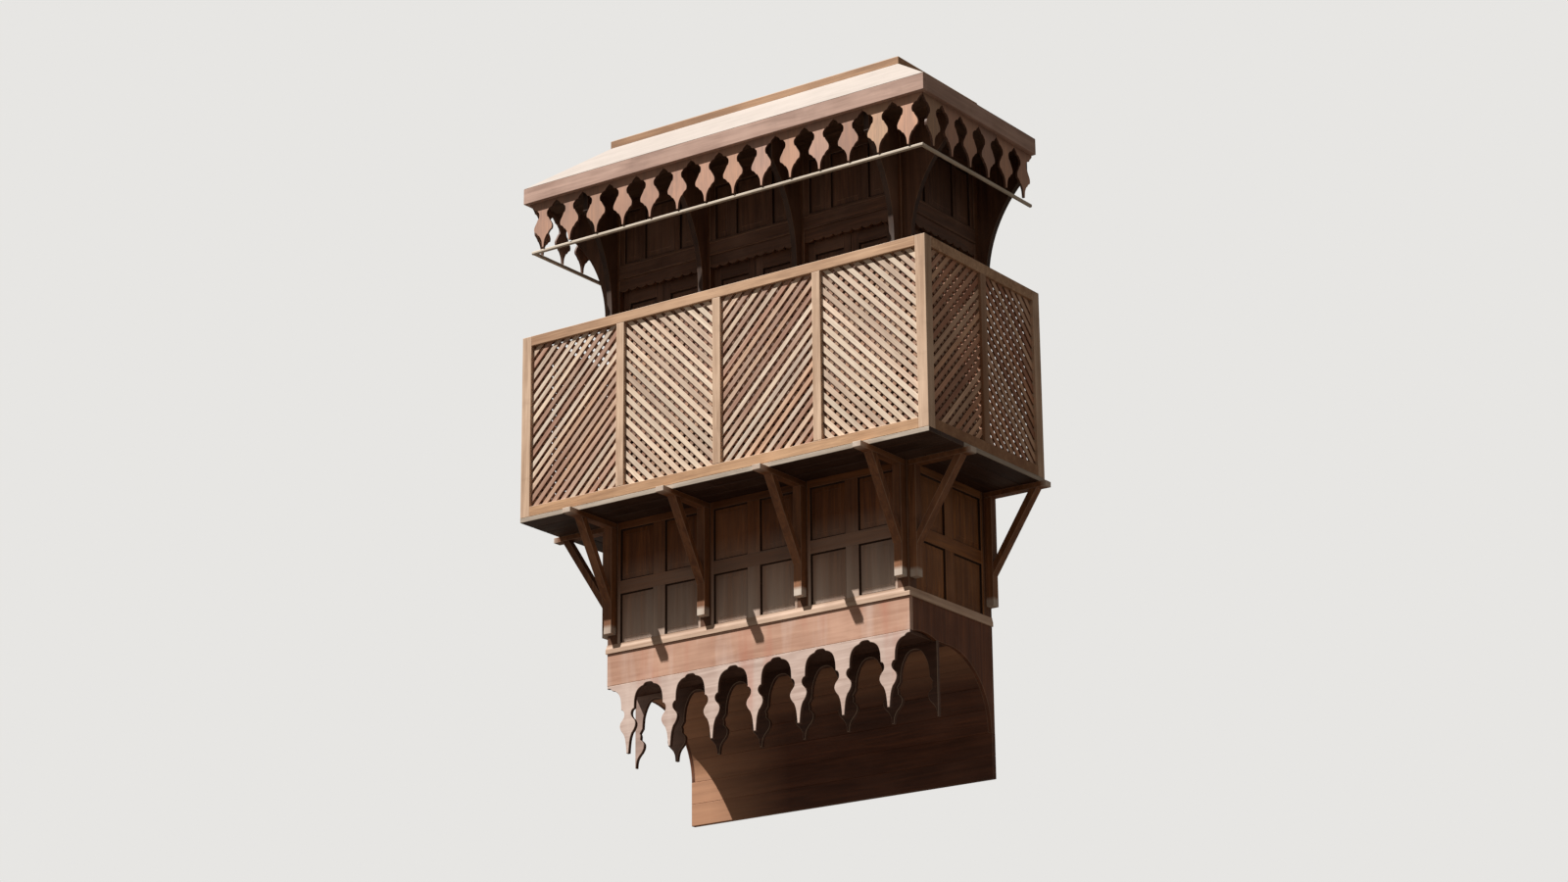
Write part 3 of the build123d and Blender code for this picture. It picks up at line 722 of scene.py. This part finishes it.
def make_lattice(node, kind, lean):
    """The slats that fall to the right are given paler tones. On the right side, which is in shade, the slats
    are darker and redder: painted shade.
    """
    low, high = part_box(node)
    if kind is front:
        place, centre, width = front(-low.y), (low.x + high.x) / 2, high.x - low.x
    else:
        place = kind(high.x if kind is right else -low.x)
        centre, width = (low.y + high.y) / 2, high.y - low.y
    outer, behind = Work(node + "_slats"), Work(node + "_back_slats")
    middle, height = (low.z + high.z) / 2, high.z - low.z
    slat_layer(outer, place, centre, middle, width, height, lean * pi / 4, 0)
    slat_layer(behind, place, centre, middle, width, height, -lean * pi / 4, -slat_thickness)
    if kind is right:
        shown = slat_finish("shaded_slats", SHADED_SLAT_TONES)
    elif lean > 0:
        shown = slat_finish("slats", SLAT_TONES)
    else:
        shown = slat_finish("pale_slats", PALE_SLAT_TONES)
    outer.make("lattice_wood", shown, node)
    behind.make("lattice_wood", slat_finish("back_slats", SHADED_BACK_SLAT_TONES))


def make_lattices():
    for i, lean in enumerate((1, -1, 1, -1)):
        make_lattice(f"lattice_front_{i + 1}", front, lean)
    for i, lean in enumerate((1, -1)):
        make_lattice(f"lattice_right_{i + 1}", right, lean)
        make_lattice(f"lattice_left_{i + 1}", left, lean)


# Framed walls with moulded, raised fields

wall_thickness = 40 * MM
frame_gap = 0.4 * MM
rail_step = 0.3 * MM
muntin_step = 0.5 * MM
field_depth = 12 * MM
field_ground = 8 * MM
field_margin = 8 * MM
field_relief = 6 * MM
field_slope = 24 * MM
field_edge = 1.6 * MM
bead_width = 1.5 * MM
bead_depth = 2 * MM


def wall_finish(name, colours=PANEL, **choices):
    """Panel wood with its worn edge, and painted shade in the grooves round the fields."""
    painted_shadow = painted_shade_finish(name + "_groove", GROOVE_SHADE, roughness=0.85)
    return finish(name, colours, edge=0.12, **choices) + painted_shadow


def field(work, place, u0, u1, v0, v1):
    """A sunk ground, a raised field with sloping margins on it and a bead along the frame. The ground and the
    bead are painted dark: painted shade.
    """
    ground, top = -field_depth, -field_depth + field_relief
    back = ground - field_ground
    work.block(u0, u1, v0, v1, place, back, ground, edge=0.2 * MM, upright=True, both=False, body=SHADED)
    foot = rectangle(u0 + field_margin, u1 - field_margin, v0 + field_margin, v1 - field_margin)
    shoulder = inset(foot, field_slope)
    rings = [(foot, ground), (shoulder, top - field_edge), (inset(shoulder, field_edge), top)]
    local = [(u, v, w) for ring, w in rings for u, v in ring]
    count = len(foot)
    faces = band(0, count) + band(count, count) + [[2 * count + i for i in range(count)]]
    work.add(local, faces, place, [BODY] * count + [WORN] * count + [BODY], pi / 2)
    rim = rectangle(u0, u1, v0, v1)
    inner = inset(rim, bead_width)
    for i in range(4):
        j = (i + 1) % 4
        side = [rim[i], rim[j], inner[j], inner[i]]
        angle = pi / 2 if i % 2 else 0.0
        work.prism(side, place, ground, -bead_depth, edge=0.5 * MM, angle=angle, both=False, body=SHADED)


def framed(work, place, u0, u1, v0, v1, thickness, columns, rows):
    """Stiles, rails and muntins round fields. Columns and rows are (start, end) pairs."""
    back = -thickness
    work.block(u0, columns[0][0], v0, v1, place, back, 0, upright=True)
    work.block(columns[-1][1], u1, v0, v1, place, back, 0, upright=True)
    inner0, inner1 = columns[0][0] + frame_gap, columns[-1][1] - frame_gap
    levels = [v0] + [edge for row in rows for edge in row] + [v1]
    for low, high in zip(levels[::2], levels[1::2]):
        work.block(inner0, inner1, low, high, place, back, -rail_step)
    for low, high in rows:
        for (_, start), (end, _) in zip(columns, columns[1:]):
            work.block(start, end, low + frame_gap, high - frame_gap, place, back, -muntin_step, upright=True)
        for start, end in columns:
            field(work, place, start, end, low, high)


# Lower walls. Their rows of fields are measured up from the deck

lower_edge_stile = 15 * MM
lower_middle_stile = 76 * MM
lower_rows = [(0.017, 0.285), (0.353, 0.632)]
paler_up_to = 0.56


def make_lower_walls():
    ahead, sides = Work("lower_walls_front"), Work("lower_walls_sides")
    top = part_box("lower_panels")[1].z
    rows = [(deck_top + low, deck_top + high) for low, high in lower_rows]
    half = lower_middle_stile / 2
    for work, bays in ((ahead, front_bays), (sides, side_bays)):
        for place, centre, clear in bays:
            u0, u1 = centre - clear / 2, centre + clear / 2
            outer = clear / 2 - lower_edge_stile
            columns = [(centre - outer, centre - half), (centre + half, centre + outer)]
            framed(work, place, u0, u1, deck_top, top, wall_thickness, columns, rows)
    # The lower walls are paler towards the bottom: partly bleached wood, partly painted light from the sunlit
    # sill and the ground.
    paler_low = [("z", deck_top, paler_up_to, BLEACHED_AND_LIT, 0.92)]
    ahead.make("panel_wood", wall_finish("lower_walls", dust=DUST, fades=paler_low), "lower_panels")
    # The side walls get a warmer copy of the panel wood: painted bounce light.
    sides.make("panel_wood", wall_finish("lower_walls_sides", BOUNCE_LIT_SIDE_PANEL), "lower_panels")


# Upper walls: three fields in a row, over a ledge board between two strips

upper_stile = 34 * MM
upper_row = (0.088, 0.388)
middle_share = 0.37
ledge_levels = (6 * MM, 74 * MM)
ledge_step = 7 * MM
strip_levels = (0, 68 * MM)
strip_height = 12 * MM
strip_step = 10 * MM


def make_upper_walls():
    work = Work("upper_walls")
    low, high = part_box("upper_panels")
    rows = [[low.z + level for level in upper_row]]
    ledge = [low.z + level for level in ledge_levels]
    for place, centre, clear in all_bays:
        u0, u1 = centre - clear / 2, centre + clear / 2
        wide = middle_share * clear
        narrow = (clear - wide) / 2 - 2 * upper_stile
        first, last = u0 + upper_stile, centre + wide / 2 + upper_stile
        columns = [(first, first + narrow), (centre - wide / 2, centre + wide / 2), (last, last + narrow)]
        framed(work, place, u0, u1, low.z, high.z, wall_thickness, columns, rows)
        work.block(u0, u1, *ledge, place, 0, ledge_step, edge=3 * MM, both=False)
        for level in strip_levels:
            bottom = low.z + level
            work.block(u0, u1, bottom, bottom + strip_height, place, 0, strip_step, edge=3.5 * MM, both=False)
    work.make("panel_wood", wall_finish("upper_walls", UPPER_PANEL), "upper_panels")


# Shutters: two leaves in each bay. Their rows of fields end where the valance hides the leaves

shutter_height = 1.21
shutter_rows = 3
shutter_rail = 60 * MM
shutter_stile = 44 * MM
shutter_thickness = 34 * MM
shutter_setback = 34 * MM
shutter_gap = 2 * MM


def make_shutters():
    work = Work("shutter_leaves")
    low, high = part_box("shutters")
    row_height = (shutter_height - (shutter_rows + 1) * shutter_rail) / shutter_rows
    starts = [low.z + shutter_rail + i * (row_height + shutter_rail) for i in range(shutter_rows)]
    rows = [(start, start + row_height) for start in starts]
    for place, centre, clear in all_bays:
        leaf = clear / 2 - 2 * shutter_gap
        for side in (-1, 1):
            middle = centre + side * (leaf / 2 + shutter_gap)
            u0, u1 = middle - leaf / 2, middle + leaf / 2
            columns = [(u0 + shutter_stile, u1 - shutter_stile)]
            back = sunk(place, shutter_setback)
            framed(work, back, u0, u1, low.z, high.z, shutter_thickness, columns, rows)
    work.make("panel_wood", wall_finish("shutters", UPPER_PANEL), "shutters")


# Valances: a row of small round lobes under each upper wall

valance_lobes = 9
valance_thickness = 22 * MM
lobe_depth = 16 * MM
lobe_steps = 6


def make_valances():
    work = Work("valance_boards")
    low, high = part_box("valances")
    spring = low.z + lobe_depth
    for place, centre, clear in all_bays:
        u0, u1 = centre - clear / 2, centre + clear / 2
        lobe = clear / valance_lobes
        outline = []
        for i in range(valance_lobes):
            middle = u0 + i * lobe + lobe / 2
            for step in range(lobe_steps):
                turn = pi * step / lobe_steps
                outline.append((middle - cos(turn) * lobe / 2, spring - sin(turn) * lobe_depth))
        outline += [(u1, spring), (u1, high.z), (u0, high.z)]
        work.prism(outline, place, -valance_thickness, 0)
    work.make("panel_wood", finish("valances", UPPER_PANEL, edge=0.12), "valances")


# Fringes. The right half of a pendant runs from its top down, in curves with a cusp between them

pendants = 7
pendant_pitch = 2 * body_side / pendants
half_pendant = pendant_pitch / 2 / MM
pale_from, pale_to = 0.1, 0.4
FRONT_PENDANT = [
    [(half_pendant, 0)],
    [(half_pendant, -14), (118, -15), (108, -20), (101, -28)],
    [(92, -30), (76, -37), (61, -50), (51, -68), (45, -92), (43, -118), (42, -138)],
    [(32, -142), (25, -151), (22, -164), (25, -179), (35, -192)],
    [(44, -202), (50, -216), (50, -230), (43, -246), (33, -260)],
    [(27, -266), (19, -286), (14, -306), (10, -336), (7, -370)],
]
REAR_PENDANT = [
    [(half_pendant, 0)],
    [(half_pendant, -22), (half_pendant - 24, -27), (86, -45), (64, -84), (52, -126), (48, -176)],
    [(30, -200), (35, -214), (34, -234)],
    [(48, -246), (57, -260), (56, -280), (45, -300), (29, -316), (17, -332), (10, -352), (7, -380)],
]


def row_outline(half, pitch, count, width):
    """One board with a row of hanging pieces along its lower edge, cut off at its ends."""
    lower = []
    for i in range(count):
        middle = (i - (count - 1) / 2) * pitch
        lower += [(middle - x, y) for x, y in half[1:]]
        lower += [(middle + x, y) for x, y in reversed(half[1:])]
    lower = [(x, y) for x, y in lower if abs(x) <= width / 2 + near]
    lower = [(-width / 2, lower[0][1])] + lower + [(width / 2, lower[-1][1])]
    cleaned = lower[:1]
    for x, y in lower[1:]:
        if abs(x - cleaned[-1][0]) + abs(y - cleaned[-1][1]) > near:
            cleaned.append((x, y))
    return cleaned + [(width / 2, 0), (-width / 2, 0)]


def make_fringe(node, pendant, count, name, materials):
    low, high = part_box(node)
    row = row_outline(curves(pendant, 3), pendant_pitch, count, 2 * body_side)
    work = Work(name)
    outline = [(x, high.z + y) for x, y in row]
    work.prism(outline, front(-low.y), low.y - high.y, 0, edge=2.2 * MM, walls=SHADED)
    work.make("fringe_wood", materials + painted_shade_finish("fringe_sides", SHADED_FRINGE_SIDES), node)


def make_fringes():
    ahead = finish("fringe_front", FRINGE, weather=0.65, streaks=0.1, wear=0.3, runs=RAIN_MARKS_AND_SHEEN)
    make_fringe("front_fringe", FRONT_PENDANT, pendants, "fringe_front", ahead)
    # The rear board is a near-black copy of the fringe: painted shade. Its far paler worn edge paints the lit
    # rims of the pendants, and near the sunny end the board takes the front board's colour: painted sunlight.
    sunny_end = [("x", pale_from - body_side, pale_to - body_side, FRINGE[0], 1.0)]
    rear = finish("fringe_rear", SHADED_REAR_FRINGE, edge=0.55, weather=0.25, fades=sunny_end)
    make_fringe("rear_fringe", REAR_PENDANT, pendants + 1, "fringe_rear", rear)


# Pickets, with onion-shaped openings between them

picket_forward = 10 * MM
picket_thickness = 14 * MM
pickets_ahead = 14
pickets_beside = 6
half_picket_gap, picket_head = 0.4, 22
# Reach of the painted fascia shadow above and below the fascia's bottom
shadow_above, shadow_below = 0.01, 0.055
PICKET = [
    [(76, -32), (66, -41), (60, -52)],
    [(49, -54), (40, -60), (34, -68)],
    [(29, -72), (26, -84), (27, -96), (30, -106)],
    [(37, -110), (42, -121), (51, -136), (59, -150), (62, -164), (59, -178)],
    [(52, -182), (42, -190), (33, -203)],
    [(26, -206), (17, -220), (10, -236), (7, -252)],
    [(5, -273)],
]


def make_pickets(node, name, rows):
    """Rows of pickets, with their heads let into the back of the fascia."""
    work = Work(name)
    for place, centre, length, count, top in rows:
        pitch = length / count
        half = pitch / 2 / MM - half_picket_gap
        outline = mirrored(curves([[(half, 0)], [(half, -picket_head)]] + PICKET, 2))
        for i in range(count):
            middle = centre + (i - (count - 1) / 2) * pitch
            lift = draw.uniform(-0.8, 0.0) * MM
            shape = [(middle + x, top + y) for x, y in outline]
            work.prism(shape, place, -picket_thickness - lift, lift, edge=0.9 * MM, angle=pi / 2, walls=SHADED)
    ground = (shade(PICKET_TONES[1], 0.8), PICKET_TONES[0])
    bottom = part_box("canopy_fascia_front")[0].z
    # The fascia's shadow, painted on the heads of the pickets.
    painted_shadow = ("z", bottom + shadow_above, bottom - shadow_below, FASCIA_SHADOW, 0.75)
    shown = finish("pickets", ground, tones=PICKET_TONES, fades=[painted_shadow])
    work.make("picket_wood", shown + painted_shade_finish(name + "_sides", SHADED_FRINGE_SIDES), node)


def make_all_pickets():
    low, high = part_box("pickets_front")
    length = high.x - low.x + 2 * picket_forward
    rows = [(front(picket_forward - low.y), 0, length, pickets_ahead, high.z)]
    make_pickets("pickets_front", "front_pickets", rows)
    low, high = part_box("pickets_sides")
    start = low.y - picket_forward
    centre, length = (start + high.y) / 2, high.y - start
    planes = [place(high.x + picket_forward) for place in (right, left)]
    rows = [(plane, centre, length, pickets_beside, high.z) for plane in planes]
    make_pickets("pickets_sides", "side_pickets", rows)


# Underside: the cove, the soffit on its street side, the wall board below it, and the apron

cove_radius = 0.37
cove_thickness = 18 * MM
cove_boards = 5
cove_edge = 1.6 * MM
cove_edge_depth = 1.8 * MM
wall_board_cut, apron_cut = 2 * MM, 1.4 * MM
inner_steps, outer_steps = 6, 4
soffit_boards = 3
# Reach of the painted light on the cove: down from its top, and along from its sunny end
lit_top_drop = 0.17
lit_end_full, lit_end_to = 0.12, -0.3


def cove_finish():
    """Dark boards, painted lighter at their top, towards the street, and at the sunny end: painted sunlight
    and light thrown back up under the bay.
    """
    sunny, top = -body_side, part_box("cove_soffit")[1].z
    return finish("cove", COVE, weather=0.25, fades=[
        ("z", top, top - lit_top_drop, shade(COVE_LIT, 0.85), 0.85),
        ("x", sunny + lit_end_full, lit_end_to, COVE_LIT, 0.85),
    ])


def make_cove():
    low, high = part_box("cove_soffit")
    work = Work("cove_boards")
    step = pi / 2 / cove_boards
    cut = cove_edge / cove_radius
    groove, back = cove_radius + cove_edge_depth, cove_radius + cove_thickness
    for i in range(cove_boards):
        start, end = i * step, (i + 1) * step
        shown = [start + cut + (end - start - 2 * cut) * j / inner_steps for j in range(inner_steps + 1)]
        hidden = [end - (end - start) * j / outer_steps for j in range(outer_steps + 1)]
        section = [(groove, start)] + [(cove_radius, turn) for turn in shown] + [(groove, end)]
        section += [(back, turn) for turn in hidden]
        outline = [(low.y + radius * sin(turn), low.z + radius * cos(turn)) for radius, turn in section]
        work.plank(outline, across, low.x, high.x)
    work.make("cove_wood", cove_finish(), "cove_soffit")


def make_underside():
    # The soffit board between the fringes is painted near black: painted shade.
    dark = finish("underside", SHADED_REAR_FRINGE)
    plank_node("soffit_board", "underside_boards", soffit_boards, "cove_wood", dark)
    low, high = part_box("wall_board")
    work = Work("wall_boards")
    half = (low.z + high.z) / 2
    for bottom, top in ((low.z, half), (half, high.z)):
        work.plank(cut_corners(low.y, high.y, bottom, top, wall_board_cut), across, low.x, high.x)
    work.make("cove_wood", cove_finish(), "wall_board")


def make_apron():
    low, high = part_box("front_apron")
    work = Work("apron_board")
    work.plank(cut_corners(low.y, high.y, low.z, high.z, apron_cut), across, low.x, high.x)
    shown = finish("apron", APRON, weather=0.6, streaks=0.07, wear=0.22, runs=RAIN_MARKS_AND_SHEEN)
    work.make("apron_wood", shown, "front_apron")


# Floors: boards with a gap between them and a bare lip along the outer edge

floor_boards = 3
floor_gap = 3 * MM
floor_cut = 2 * MM
lip_width = 5 * MM
lip_gap = 0.4 * MM
lip_cut = 1.2 * MM
deck_boards = 6


def make_floors():
    # Near-black boards, with dust on the faces that look up
    dark_boards = finish("floor", FLOOR, dust=DUST, dust_share=0.8)
    bare = finish("floor_edge", FLOOR_EDGE, dust=DUST, dust_share=0.6)
    low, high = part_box("balcony_floor_front")
    boards, edge = Work("floor_boards_front"), Work("floor_edge_front")
    lip, bottom, top = low.y + lip_width, low.z, high.z
    boards.planks(across, lip, high.y, bottom, top, low.x, high.x, floor_boards, floor_gap, floor_cut)
    edge.plank(cut_corners(low.y, lip - lip_gap, bottom, top, lip_cut), across, low.x, high.x)
    boards.make("floor_wood", dark_boards, "balcony_floor_front")
    edge.make("floor_wood", bare)
    low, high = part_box("balcony_floor_sides")
    boards, edge = Work("floor_boards_sides"), Work("floor_edge_sides")
    lip, bottom, top = high.x - lip_width, low.z, high.z
    for place in (deep_right, deep_left):
        boards.planks(place, body_side, lip, bottom, top, low.y, high.y, floor_boards, floor_gap, floor_cut)
        edge.plank(cut_corners(lip + lip_gap, high.x, bottom, top, lip_cut), place, low.y, high.y)
    boards.make("floor_wood", dark_boards, "balcony_floor_sides")
    edge.make("floor_wood", bare)
    plank_node("floor_deck", "deck_boards", deck_boards, "floor_wood", dark_boards)


# Canopy: fascia, soffit and curved plank brackets

fascia_setback = 1 * MM
fascia_cut = 1.6 * MM
bracket_half = 16 * MM
bracket_foot = 0.045
bracket_nose = 0.12
bend_share, bend_drop = 0.42, 0.21
bracket_steps = 16


def make_fascia():
    """Boards nearly flush with the lip of the roof, so that the lip throws no shadow line on them."""
    low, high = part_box("canopy_fascia_front")
    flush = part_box("canopy_roof_front")[0].y + fascia_setback
    outer = low.y - flush - low.x
    inner = -low.x - (high.y - low.y)
    ahead, sides = Work("fascia_front"), Work("fascia_sides")
    ahead.plank(cut_corners(flush, high.y, low.z, high.z, fascia_cut), across, -outer, outer)
    for place in (deep_right, deep_left):
        sides.plank(cut_corners(inner, outer, low.z, high.z, fascia_cut), place, high.y, 0)
    shown = finish("fascia", FASCIA, dust=DUST, weather=0.6, streaks=0.18)
    ahead.make("fascia_wood", shown, "canopy_fascia_front")
    sides.make("fascia_wood", shown, "canopy_fascia_sides")


def make_canopy_soffit():
    shown = finish("canopy_soffit", UNDER_CANOPY)
    plank_node("canopy_soffit_front", "canopy_soffit_boards_front", soffit_boards, "soffit_wood", shown)
    low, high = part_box("canopy_soffit_sides")
    work = Work("canopy_soffit_boards_sides")
    for place in (deep_right, deep_left):
        work.planks(place, body_side, high.x, low.z, high.z, low.y, high.y, soffit_boards)
    work.make("soffit_wood", shown, "canopy_soffit_sides")


def bracket_outline(reach, bottom, top):
    """Straight against the body and under the canopy, hollow in front."""
    nose = top - bracket_nose
    hollow = arc((bracket_foot, bottom), (bend_share * reach, nose - bend_drop), (reach, nose), bracket_steps)
    return [(0, top), (0, bottom)] + hollow + [(reach, top)]


def make_canopy_brackets():
    low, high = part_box("canopy_brackets")
    work = Work("curved_brackets")

    def bracket(reach, place):
        outline = bracket_outline(reach, low.z, high.z)
        work.prism(outline, place, -bracket_half, bracket_half, angle=pi / 2, walls=SHADED)

    for x in post_lines:
        bracket(-low.y - body_front, lambda u, v, w: (x + w, -body_front - u, v))
    for y in (-body_front + post_size / 2, -bracket_half):
        for side in (-1, 1):
            bracket(high.x - body_side, lambda u, v, w: (side * (body_side + u), y + w, v))
    # The sides of the brackets are painted darker: painted shade.
    cut = painted_shade_finish("bracket_sides", SHADED_BRACKET_SIDES)
    work.make("bracket_wood", finish("canopy_brackets", UPPER_PANEL, edge=0.1) + cut, "canopy_brackets")


# Sill moulding: a swept profile with mitred corners

moulding_reach = 7 * MM
moulding_top_reach = 2 * MM
moulding_lip = 14 * MM
moulding_swell = 0.8 * MM
moulding_steps = 12


def moulding_profile(bottom, top):
    """(reach, level) points: an upright lip and a wave that falls back over it."""
    lip = bottom + moulding_lip
    profile = [(0, top), (0, bottom), (moulding_reach, bottom), (moulding_reach, lip)]
    for step in range(1, moulding_steps + 1):
        t = step / moulding_steps
        swell = sin(t * 2 * pi) * moulding_swell
        reach = moulding_reach - (moulding_reach - moulding_top_reach) * t + swell
        profile.append((reach, lip + (top - lip) * t))
    return profile


def corner(side):
    """The mitred corner of the body, as the place in plan for each reach."""
    return lambda reach: (side * (body_side + reach), -body_front - reach)


def wall_end(side):
    return lambda reach: (side * (body_side + reach), 0.0)


def run_moulding(work, profile, stations, angle):
    """The profile run from one station to the next. The face of its lip is worn."""
    count = len(profile)
    local = [(*station(reach), level) for station in stations for reach, level in profile]
    faces = band(0, count) + [list(range(count)), [count + i for i in range(count)][::-1]]
    slots = [BODY] * (count + 2)
    slots[2] = WORN
    work.add(local, faces, lambda u, v, w: (u, v, w), slots, angle)


def make_moulding():
    low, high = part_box("sill_moulding_front")
    profile = moulding_profile(low.z, high.z)
    sides, ahead = Work("moulding_sides"), Work("moulding_front")
    run_moulding(ahead, profile, [corner(-1), corner(1)], 0.0)
    for side in (-1, 1):
        run_moulding(sides, profile, [corner(side), wall_end(side)], pi / 2)
    shown = finish("moulding", MOULDING, dust=DUST, dust_share=0.6)
    ahead.make("moulding_wood", shown, "sill_moulding_front")
    sides.make("moulding_wood", shown, "sill_moulding_sides")


# Nodes whose own shape is shown

screen_bevel = 2.5
rod_bevel = 1.0
# Depth and soft border of the painted shade on the screen's right side
side_shade_depth, side_shade_border = 0.05, 0.01
joist_end, joist_side_end = 0.07, 0.035
leg_end = 0.03
soft_end = 0.02


def finish_body():
    for node in ("corner_posts", "mid_posts", "wall_jambs"):
        finish_node(node, "posts", POST, grain="z")
    for node in ("head_beam", "floor_beam"):
        finish_node(node, "beams", BEAM, grain="x")
    finish_node("top_cap", "cap", CAP, grain="x", dust=DUST)
    finish_node("side_cheeks", "cheeks", CHEEK, grain="z")


def finish_screen_node(node, name, colours, grain, fades=()):
    finish_node(node, name, colours, screen_bevel, grain=grain, dust=DUST, fades=fades)


def finish_screen():
    """Frame of the screen. Its right side, which is in shade, is painted darker: painted shade."""
    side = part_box("balcony_top_rails")[1].x
    painted_side_shade = [("x", side - side_shade_depth, side - side_shade_depth - side_shade_border, SHADED_RIGHT_SIDE, 0.85)]
    finish_screen_node("balcony_posts", "screen_upright", UPRIGHT, "z")
    finish_screen_node("balcony_mullions", "screen_mullion", UPRIGHT, "z", painted_side_shade)
    finish_screen_node("balcony_top_rails", "screen_level", FRAME, "x")
    finish_screen_node("balcony_bottom_rails", "screen_foot", FOOT_RAIL, "x", painted_side_shade)


def finish_supports():
    """Joists, legs and struts. The ends that meet the sun are painted paler: painted sunlight."""
    low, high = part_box("balcony_joists")
    joist_ends = [
        ("y", low.y, low.y + joist_end, SUNLIT_END, 0.8),
        ("x", low.x, low.x + joist_side_end, SUNLIT_END, 0.8),
        ("x", high.x, high.x - joist_side_end, SUNLIT_END, 0.8),
    ]
    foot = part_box("bracket_legs")[0].z + leg_end
    finish_screen_node("balcony_joists", "joists", STRUT, "y", joist_ends)
    finish_screen_node("bracket_legs", "legs", STRUT, "z", [("z", foot, foot + soft_end, SUNLIT_END, 0.9)])
    finish_screen_node("bracket_struts", "struts", STRUT, "z")


def finish_canopy():
    even = {"dust": ROOF[1], "streaks": 0.12, "wear": 0.2}
    finish_node("canopy_roof_front", "roof_long", ROOF, grain="x", **even)
    finish_node("canopy_roof_sides", "roof_short", ROOF, grain="y", **even)
    finish_node("drip_rod_front", "rod_long", ROD, rod_bevel, grain="x")
    finish_node("drip_rods_side", "rod_short", ROD, rod_bevel, grain="y")


bpy.context.scene.view_settings.view_transform = "Standard"
make_camera()
make_light()
make_surround()
make_floor()
finish_body()
finish_screen()
finish_supports()
finish_canopy()
make_lattices()
make_lower_walls()
make_upper_walls()
make_shutters()
make_valances()
make_fringes()
make_all_pickets()
make_cove()
make_underside()
make_apron()
make_floors()
make_fascia()
make_canopy_soffit()
make_moulding()
make_canopy_brackets()
